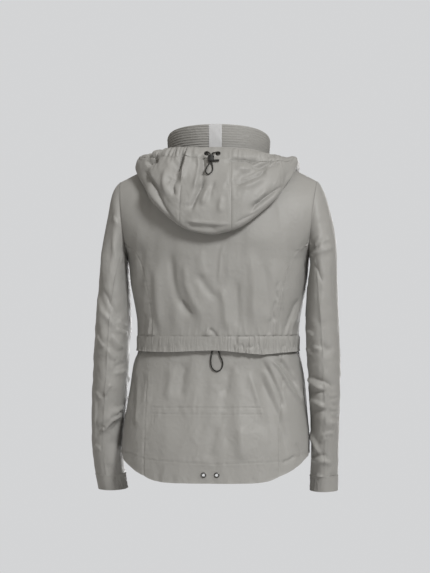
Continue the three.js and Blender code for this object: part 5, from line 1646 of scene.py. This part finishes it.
def make_stage(context):
    scene = context.scene
    lights = scene.jacket_light
    camera = bpy.data.objects.new("Camera", bpy.data.cameras.new("Camera"))
    scene.collection.objects.link(camera)
    camera.data.lens = 125.65
    camera.data.sensor_width = 36
    camera.data.clip_end = 30
    camera.location = (-0.3417, 3.9854, -0.269)
    camera.rotation_euler = (90 * DEGREE, 0, 185 * DEGREE)
    scene.camera = camera
    world = bpy.data.worlds.new("World")
    world.use_nodes = True
    scene.world = world
    tree = world.node_tree
    tree.nodes.clear()
    path = node(tree, "ShaderNodeLightPath")
    seen = node(tree, "ShaderNodeBackground")
    seen.inputs["Color"].default_value = (0.655, 0.66, 0.668, 1)
    seen.inputs["Strength"].default_value = 1
    place_ = node(tree, "ShaderNodeTexCoord")
    parts = node(tree, "ShaderNodeSeparateXYZ")
    tree.links.new(place_.outputs["Generated"], parts.inputs[0])
    rise = node(tree, "ShaderNodeMapRange")
    rise.inputs["From Min"].default_value = -1
    rise.inputs["To Min"].default_value = 0.35 * lights.ambient
    rise.inputs["To Max"].default_value = 1.35 * lights.ambient
    tree.links.new(parts.outputs[2], rise.inputs["Value"])
    around = node(tree, "ShaderNodeBackground")
    around.inputs["Color"].default_value = (1.0, 0.95, 0.88, 1)
    tree.links.new(rise.outputs[0], around.inputs["Strength"])
    mix = node(tree, "ShaderNodeMixShader")
    tree.links.new(path.outputs["Is Camera Ray"], mix.inputs[0])
    tree.links.new(around.outputs[0], mix.inputs[1])
    tree.links.new(seen.outputs[0], mix.inputs[2])
    out = node(tree, "ShaderNodeOutputWorld")
    tree.links.new(mix.outputs[0], out.inputs["Surface"])
    for name, where, power_, size, colour in (
        ("Key", (-2.9, 4.4, 3.4), lights.key, 1.3, (1.0, 1.0, 1.0)),
        ("Fill", (2.6, 3.4, 0.2), lights.fill, 2.4, (1.0, 0.98, 0.95)),
        ("Front key", (-0.4, -4.8, -0.2), lights.front, 2.0, (1.0, 1.0, 1.0)),
    ):
        data = bpy.data.lights.new(name, "AREA")
        data.energy = power_
        data.size = size
        data.color = colour
        lamp = bpy.data.objects.new(name, data)
        scene.collection.objects.link(lamp)
        lamp.location = where
        aim = Vector((0, 0, -0.3)) - Vector(where)
        lamp.rotation_euler = aim.to_track_quat("-Z", "Y").to_euler()
    scene.view_settings.view_transform = "Standard"
    bpy.ops.object.select_all(action="DESELECT")
    bpy.ops.mesh.primitive_circle_add(vertices=96, radius=3.9, fill_type="NGON", location=(0, 0, 0))
    floor = context.object
    floor.name = "floor"
    floor.location = (0, 0, -1.45)
    bpy.ops.object.transform_apply(location=True, rotation=True, scale=True)
    made, tree, shader, coordinates = new_material("floor_finish")
    mottle = use_group(tree, "Mottle", coordinates.outputs["Object"], Scale=1.2)
    tone = mixed_colour(tree, mottle, (0.60, 0.60, 0.605), (0.64, 0.64, 0.645))
    tree.links.new(tone, shader.inputs["Base Color"])
    shader.inputs["Roughness"].default_value = 0.9
    floor.data.materials.append(made)


def make_cords(context):
    sizes = context.scene.jacket_cord
    left, out_left = on_channel(HOOD_EYELETS[0][1])
    right, out_right = on_channel(HOOD_EYELETS[1][1])
    half = STOPPER["height"] / 2
    down = [left + out_left * 0.5, left + out_left * 5]
    down += [by_stopper(3, 1, half + 4), by_stopper(2, 0, half + 0.5)]
    below = -half - 0.5
    rest = []
    for x, z in ((12.5, -40), (14, -47), (8.5, -52.5), (1.5, -47), (0.6, -39.5)):
        spot, normal = hood_spot(x, z)
        spot = spot + normal * (sizes.hood_radius / MM + 1)
        rest.append(np.array([x, spot[1], spot[2]]))
    loop = [by_stopper(2, 0, below), by_stopper(2.6, -0.6, below - 3), *rest]
    loop += [by_stopper(-2.6, -0.6, below - 3), by_stopper(-2, 0, below)]
    back = [by_stopper(-2, 0, half + 0.5), by_stopper(-3, 1, half + 4)]
    back += [right + out_right * 5, right + out_right * 0.5]
    cord_object(
        "hood_drawcord",
        smooth_path(down + loop + back),
        sizes.hood_radius / MM,
        ("hood_cord_left", "hood_cord_right", "hood_cord_loop"),
    )
    route = []
    for x, z in (
        (3.7, -391), (4, -398), (6.2, -412), (4, -427), (-5, -434),
        (-14.5, -429), (-17, -417), (-12.5, -405), (-9.6, -397), (-9.2, -391),
    ):
        spot = lower_point(turn_of_x(np.array(float(x)), z), np.array(float(z)))
        route.append(np.array([x, spot[1] + lerp(2.2, 3.2, float(smooth((-396 - z) / 12))), z]))
    cord_object(
        "waist_elastic_loop",
        smooth_path(route),
        sizes.waist_radius / MM,
        ("waist_cord_loop",),
    )


def make_yoke(context):
    centre = Sheet(yoke_centre_point, 150, 146, centre_height, -1)
    cloth_piece("yoke_centre_cloth", "yoke_centre", centre)
    for label, hand in (("left", 1), ("right", -1)):
        side = Sheet(yoke_side_point(hand), 40, 84, side_height, -hand)
        cloth_piece(f"yoke_{label}_cloth", f"yoke_{label}", side)

    def casing(a, b):
        turn = lerp(-90, 90, a)
        return ring(turn, lerp(read(CASING_EDGE, "z", turn), YOKE["casing_top"], b))

    band = Sheet(casing, 520, 14, casing_height, -1)
    cloth_piece("yoke_casing_cloth", "yoke_casing", band)


def make_lower_back(context):
    def seam(z):
        return turn_of_x(np.full_like(z, float(LOWER_SEAM_X)), z)

    def across(a, z):
        return seam(z + 0 * a) * (2 * a - 1)

    def beside(hand):
        def turn_at(a, z):
            return hand * lerp(seam(z + 0 * a), 90, a)

        return turn_at

    centre = Sheet(lower_panel(across), 124, 126, lower_centre_height, -1)
    holes = []
    for _, x in HEM_EYELETS:
        spot, normal = on_hem(x)
        holes.append((spot, normal, 3.4, EYELET["hole"]))
    cloth_piece("back_centre_cloth", "back_centre", centre, holes=holes)
    for label, hand in (("left", 1), ("right", -1)):
        side = Sheet(lower_panel(beside(hand)), 42, 110, lower_side_height, -hand)
        cloth_piece(f"back_{label}_cloth", f"back_{label}", side)


def make_fronts(context):
    for label, hand in (("left", 1), ("right", -1)):
        side = Sheet(front_point(hand), 62, 134, front_height, hand)
        cloth_piece(f"front_{label}_cloth", f"front_{label}", side)


def make_collar(context):
    def face(a, b):
        return collar_point(lerp(-COLLAR_END, COLLAR_END, a), b)

    collar = Sheet(face, 190, 60, collar_height, -1)
    cloth_piece("collar_cloth", "collar", collar, thick=0.0022)

    def strip(a, b):
        turn = lerp(-TAPE["half_turn"], TAPE["half_turn"], a)
        made = collar_point(turn, lerp(TAPE["foot"], TAPE["top"], b))
        made[..., 1] += TAPE["out"]
        return made

    def tape_height(sheet):
        edge = np.minimum(np.minimum(sheet.left, sheet.right), np.minimum(sheet.bottom, sheet.top))
        return 0.35 * value_noise(sheet.left / 9, sheet.bottom / 13, 233) - 0.35 * np.exp(-edge / 0.5)

    tape = Sheet(strip, 36, 60, tape_height, -1)
    cloth_piece("collar_tape_cloth", "collar_tape", tape, finish="collar_tape", thick=0.001)


def make_sleeves(context):
    def seam(down):
        return read(SLEEVE_SEAM, "round", down)

    def front_low(down):
        return SLEEVE["front_seam"] - 360 + 0 * down

    def front_high(down):
        return SLEEVE["front_seam"] + 0 * down

    for label, hand, sections in (("left", 1, LEFT_SLEEVE), ("right", -1, RIGHT_SLEEVE)):
        for part, from_, to, columns in (("top", front_low, seam, 84), ("under", seam, front_high, 46)):

            def face(a, b, from_=from_, to=to):
                down = SLEEVE["cuff_top"] * b
                return sleeve_point(sections, hand, lerp(from_(down), to(down), a), down)

            relief = sleeve_height(hand, 0, SLEEVE["cuff_top"], from_, to)
            sheet = Sheet(face, columns, 170, relief, hand)
            cloth_piece(f"sleeve_{label}_{part}_cloth", f"sleeve_{label}_{part}", sheet)

        def around(a, b):
            return sleeve_point(sections, hand, 360 * a, lerp(SLEEVE["cuff_top"], SLEEVE["end"], b))

        cuff = Sheet(around, 300, 16, cuff_height, hand, loop=True)
        cloth_piece(f"cuff_{label}_cloth", f"cuff_{label}", cuff)


def make_hood(context):
    right, left = HOOD_SEAMS
    for label, start, end in (
        ("right", -HOOD["end"], right),
        ("centre", right, left),
        ("left", left, HOOD["end"]),
    ):
        panel = Sheet(
            hood_surface(start, end, 0, HOOD["casing_start"]),
            hood_turns(start, end, 0.95),
            126,
            hood_height(start, end),
            -1,
        )
        cloth_piece(f"hood_{label}_cloth", f"hood_{label}", panel)
    channel = Sheet(
        hood_surface(-HOOD["end"], HOOD["end"], HOOD["casing_start"], 1),
        hood_turns(-HOOD["end"], HOOD["end"], 0.6),
        18,
        hood_casing_height,
        -1,
    )
    holes = [(*on_channel(turn), 3.3, EYELET["hole"]) for _, turn in HOOD_EYELETS]
    cloth_piece("hood_casing_cloth", "hood_casing", channel, holes=holes)


def make_eyelets(context):
    for label, turn in HOOD_EYELETS:
        centre, normal = on_channel(turn)
        eyelet(f"hood_eyelet_{label}_ring", f"hood_eyelet_{label}", centre, normal, "black_metal")
    for label, x in HEM_EYELETS:
        centre, normal = on_hem(x)
        eyelet(f"hem_eyelet_{label}_ring", f"hem_eyelet_{label}", centre, normal, "grey_metal")


def finish_node(name, finish, width):
    """A part of the frame that stays as it is, with its material and softened edges."""
    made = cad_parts[name]
    made.data.materials.clear()
    made.data.materials.append(material(finish))
    soften(made, width)
    return made


def make_stopper(context):
    finish_node("cord_stop_barrel", "black_plastic", 0.3)
    finish_node("cord_stop_button", "black_plastic", 0.3)


def make_zip(context):
    for label, start, end in (
        ("left", ZIP["tape_from"], ZIP["tape_to"]),
        ("right", -ZIP["tape_to"], -ZIP["tape_from"]),
    ):

        def face(a, b, start=start, end=end):
            h = lerp(ZIP_LINE["start"], ZIP_LINE["tape_end"], b)
            return zip_place(lerp(start, end, a), h, np.full_like(h, -ZIP["tape_in"]))[0]

        def flat(sheet):
            return 0.15 * value_noise(sheet.left / 3, sheet.bottom / 9, 239)

        tape = Sheet(face, 8, 300, flat, 1)
        cloth_piece(f"zip_tape_{label}_cloth", f"zip_tape_{label}", tape, finish="zip_tape", thick=0.0007)
    bpy.ops.object.select_all(action="DESELECT")
    bpy.ops.mesh.primitive_cube_add(size=1, location=(0, 0, 0))
    tooth = context.object
    bpy.ops.transform.resize(value=tuple(length * MM for length in TOOTH["size"]))
    bpy.ops.object.transform_apply(location=False, rotation=False, scale=True)
    bpy.ops.object.mode_set(mode="EDIT")
    bpy.ops.mesh.select_all(action="SELECT")
    bpy.ops.mesh.bevel(offset=TOOTH["bevel"] * MM, segments=1)
    bpy.ops.object.mode_set(mode="OBJECT")
    corners = np.array([vertex.co[:] for vertex in tooth.data.vertices]) / MM
    faces = [tuple(face.vertices) for face in tooth.data.polygons]
    bpy.data.objects.remove(tooth)
    hs = np.linspace(ZIP_LINE["start"], ZIP_LINE["chain_end"], 4000)
    line = centre_front(hs)
    run = np.concatenate([[0], np.cumsum(np.linalg.norm(np.diff(line, axis=0), axis=1))])
    points, made_faces = [], []
    for k in range(int(run[-1] / (ZIP["pitch"] / 2))):
        h = np.interp((k + 0.5) * ZIP["pitch"] / 2, run, hs)
        side = 1 if k % 2 else -1
        out = ZIP["chain_out"] - TOOTH["sunk"]
        spot, normal = zip_place(np.array(side * TOOTH["aside"]), np.array(h), np.array(out))
        rise = np.array([0, -normal[2], normal[1]]) * -1
        rise = rise if rise[2] > 0 else -rise
        turned = corners[:, :1] * np.array([[1, 0, 0]]) + corners[:, 1:2] * -normal + corners[:, 2:] * rise
        start = len(points) * len(corners)
        points.append(spot + turned)
        made_faces += [tuple(start + v for v in face) for face in faces]
    mesh = bpy.data.meshes.new("zip_teeth")
    mesh.from_pydata((np.concatenate(points) * MM).tolist(), [], made_faces)
    teeth = bpy.data.objects.new("zip_teeth", mesh)
    context.scene.collection.objects.link(teeth)
    trim(teeth, "zip_teeth", "zip_chain")
    finish_node("zip_slider", "zip_metal", 0.2)
    finish_node("zip_pull", "zip_metal", 0.25)


def make_stitching(context):
    s = SHEETS
    yoke, lower = s["yoke_centre_cloth"], s["back_centre_cloth"]
    rows = [(yoke, *yoke.beside("bottom", 2.0))]
    for name in ("yoke_left_cloth", "yoke_right_cloth"):
        rows.append((s[name], *s[name].beside("bottom", 2.0)))
        rows.append((s[name], *s[name].beside("left", 1.6)))
    for edge in ("left", "right"):
        rows.append((yoke, *yoke.beside(edge, 5.5, 0, 0.56)))
    ends = 0.5 * POCKET_STITCHES["left"] / LOWER_SEAM_X, 0.5 * POCKET_STITCHES["right"] / LOWER_SEAM_X
    inside = (0.5 - ends[0], 0.5 + ends[1])
    for level in POCKET_STITCHES["levels"]:
        rows.append((lower, *lower.level(level, *inside)))
    rows.append((lower, *lower.level(hem_facing)))
    for name in ("back_left_cloth", "back_right_cloth"):
        rows.append((s[name], *s[name].level(hem_facing)))
    for name in ("front_left_cloth", "front_right_cloth"):
        rows.append((s[name], *s[name].beside("bottom", 25)))
        rows.append((s[name], *s[name].beside("left", 7)))
        rows.append((s[name], *s[name].beside("top", 3, 0.5, 1)))
    stitch_rows("body_stitching", rows)
    collar = s["collar_cloth"]
    levels = [COLLAR["rib"] * k / COLLAR["height"] for k in range(1, 10)]
    a = np.linspace(0.004, 0.996, 300)
    stitch_rows("collar_stitching", [(collar, a, np.full_like(a, level)) for level in levels])
    rows = []
    for label in ("left", "right"):
        top, under = s[f"sleeve_{label}_top_cloth"], s[f"sleeve_{label}_under_cloth"]
        cuff = s[f"cuff_{label}_cloth"]
        rows.append((top, *top.beside("right", 2.2)))
        rows.append((top, *top.beside("top", 2.2)))
        rows.append((under, *under.beside("top", 2.2)))
        rows.append((cuff, *cuff.beside("bottom", 1.5)))
    stitch_rows("sleeve_stitching", rows)
    rows = []
    centre = s["hood_centre_cloth"]
    for edge in ("left", "right"):
        rows.append((centre, *centre.beside(edge, 2.4, 0.02, 0.98)))
    for name in ("hood_left_cloth", "hood_right_cloth", "hood_centre_cloth"):
        rows.append((s[name], *s[name].beside("top", 2.0)))
    channel = s["hood_casing_cloth"]
    rows.append((channel, *channel.beside("top", 2.5)))
    stitch_rows("hood_stitching", rows)


class JacketClothSettings(bpy.types.PropertyGroup):
    """Sizes of the cloth and its sewing."""

    thickness: bpy.props.FloatProperty(
        name="Thickness",
        description="How thick each cloth wall is",
        default=0.0009,
        min=0.0002,
        max=0.003,
        unit="LENGTH",
    )
    stitch_pitch: bpy.props.FloatProperty(
        name="Stitch pitch",
        description="From one stitch to the next",
        default=0.003,
        min=0.001,
        max=0.01,
        unit="LENGTH",
    )


class JacketCordSettings(bpy.types.PropertyGroup):
    """Sizes of the cords."""

    hood_radius: bpy.props.FloatProperty(
        name="Hood cord radius",
        description="Half the thickness of the hood's drawcord",
        default=0.00125,
        min=0.0005,
        max=0.003,
        unit="LENGTH",
    )
    waist_radius: bpy.props.FloatProperty(
        name="Waist loop radius",
        description="Half the thickness of the elastic loop at the waist",
        default=0.0013,
        min=0.0005,
        max=0.003,
        unit="LENGTH",
    )


class JacketLightSettings(bpy.types.PropertyGroup):
    """Power of the lights."""

    key: bpy.props.FloatProperty(
        name="Key light", description="Power of the main light", default=298.0, min=0, unit="POWER"
    )
    front: bpy.props.FloatProperty(
        name="Front light", description="Power of the light in front", default=95.0, min=0, unit="POWER"
    )
    fill: bpy.props.FloatProperty(
        name="Fill light",
        description="Power of the soft light from the side",
        default=5.0,
        min=0,
        unit="POWER",
    )
    ambient: bpy.props.FloatProperty(
        name="Ambient", description="Strength of the light from all round", default=0.3, min=0, unit="NONE"
    )


class JACKET_OT_stage(bpy.types.Operator):
    """Add the camera, the lights, the backdrop and the floor"""

    bl_idname = "jacket.stage"
    bl_label = "Stage"

    def execute(self, context):
        make_stage(context)
        return {"FINISHED"}


class JACKET_OT_cords(bpy.types.Operator):
    """Add the hood's drawcord and the elastic loop at the waist"""

    bl_idname = "jacket.cords"
    bl_label = "Cords"

    def execute(self, context):
        make_cords(context)
        return {"FINISHED"}


class JACKET_OT_yoke(bpy.types.Operator):
    """Add the upper back and its gathered casing"""

    bl_idname = "jacket.yoke"
    bl_label = "Upper back"

    def execute(self, context):
        make_yoke(context)
        return {"FINISHED"}


class JACKET_OT_lower_back(bpy.types.Operator):
    """Add the three panels of the lower back"""

    bl_idname = "jacket.lower_back"
    bl_label = "Lower back"

    def execute(self, context):
        make_lower_back(context)
        return {"FINISHED"}


class JACKET_OT_fronts(bpy.types.Operator):
    """Add the two fronts"""

    bl_idname = "jacket.fronts"
    bl_label = "Fronts"

    def execute(self, context):
        make_fronts(context)
        return {"FINISHED"}


class JACKET_OT_collar(bpy.types.Operator):
    """Add the stand collar with its stitched rows, and the tape down its back"""

    bl_idname = "jacket.collar"
    bl_label = "Collar"

    def execute(self, context):
        make_collar(context)
        return {"FINISHED"}


class JACKET_OT_sleeves(bpy.types.Operator):
    """Add the two-piece sleeves and their cuffs"""

    bl_idname = "jacket.sleeves"
    bl_label = "Sleeves"

    def execute(self, context):
        make_sleeves(context)
        return {"FINISHED"}


class JACKET_OT_hood(bpy.types.Operator):
    """Add the hood's three panels and the channel round its edge"""

    bl_idname = "jacket.hood"
    bl_label = "Hood"

    def execute(self, context):
        make_hood(context)
        return {"FINISHED"}


class JACKET_OT_eyelets(bpy.types.Operator):
    """Add the eyelets of the hood and the hem"""

    bl_idname = "jacket.eyelets"
    bl_label = "Eyelets"

    def execute(self, context):
        make_eyelets(context)
        return {"FINISHED"}


class JACKET_OT_stopper(bpy.types.Operator):
    """Give the imported stopper on the hood's drawcord its finish and softened edges"""

    bl_idname = "jacket.stopper"
    bl_label = "Cord stopper"

    def execute(self, context):
        make_stopper(context)
        return {"FINISHED"}


class JACKET_OT_zip(bpy.types.Operator):
    """Add the zip's tapes and teeth, and give its slider and pull their finish and softened edges"""

    bl_idname = "jacket.zip"
    bl_label = "Zip"

    def execute(self, context):
        make_zip(context)
        return {"FINISHED"}


class JACKET_OT_stitching(bpy.types.Operator):
    """Add the rows of stitches, after the cloth pieces"""

    bl_idname = "jacket.stitching"
    bl_label = "Stitching"

    def execute(self, context):
        make_stitching(context)
        return {"FINISHED"}


OPERATORS = (
    JACKET_OT_stage,
    JACKET_OT_cords,
    JACKET_OT_yoke,
    JACKET_OT_lower_back,
    JACKET_OT_fronts,
    JACKET_OT_collar,
    JACKET_OT_sleeves,
    JACKET_OT_hood,
    JACKET_OT_eyelets,
    JACKET_OT_stopper,
    JACKET_OT_zip,
    JACKET_OT_stitching,
)


class JACKET_PT_panel(bpy.types.Panel):
    """Lists the steps that build the jacket"""

    bl_idname = "JACKET_PT_panel"
    bl_label = "Hooded jacket"
    bl_space_type = "VIEW_3D"
    bl_region_type = "UI"
    bl_category = "Jacket"

    def draw(self, context):
        scene = context.scene
        for settings in (scene.jacket_cloth, scene.jacket_cord, scene.jacket_light):
            for name in settings.bl_rna.properties.keys():
                if name not in ("rna_type", "name"):
                    self.layout.prop(settings, name)
        for step in OPERATORS:
            self.layout.operator(step.bl_idname)


SETTINGS = (
    ("jacket_cloth", JacketClothSettings),
    ("jacket_cord", JacketCordSettings),
    ("jacket_light", JacketLightSettings),
)


def register():
    for name, kind in SETTINGS:
        bpy.utils.register_class(kind)
        setattr(bpy.types.Scene, name, bpy.props.PointerProperty(type=kind))
    for kind in (*OPERATORS, JACKET_PT_panel):
        bpy.utils.register_class(kind)


def unregister():
    for kind in reversed((*OPERATORS, JACKET_PT_panel)):
        bpy.utils.unregister_class(kind)
    for name, kind in reversed(SETTINGS):
        delattr(bpy.types.Scene, name)
        bpy.utils.unregister_class(kind)


def main():
    register()
    bpy.ops.jacket.stage()
    bpy.ops.jacket.cords()
    bpy.ops.jacket.yoke()
    bpy.ops.jacket.lower_back()
    bpy.ops.jacket.fronts()
    bpy.ops.jacket.collar()
    bpy.ops.jacket.sleeves()
    bpy.ops.jacket.hood()
    bpy.ops.jacket.eyelets()
    bpy.ops.jacket.stopper()
    bpy.ops.jacket.zip()
    bpy.ops.jacket.stitching()
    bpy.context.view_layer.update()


if __name__ == "__main__":
    main()
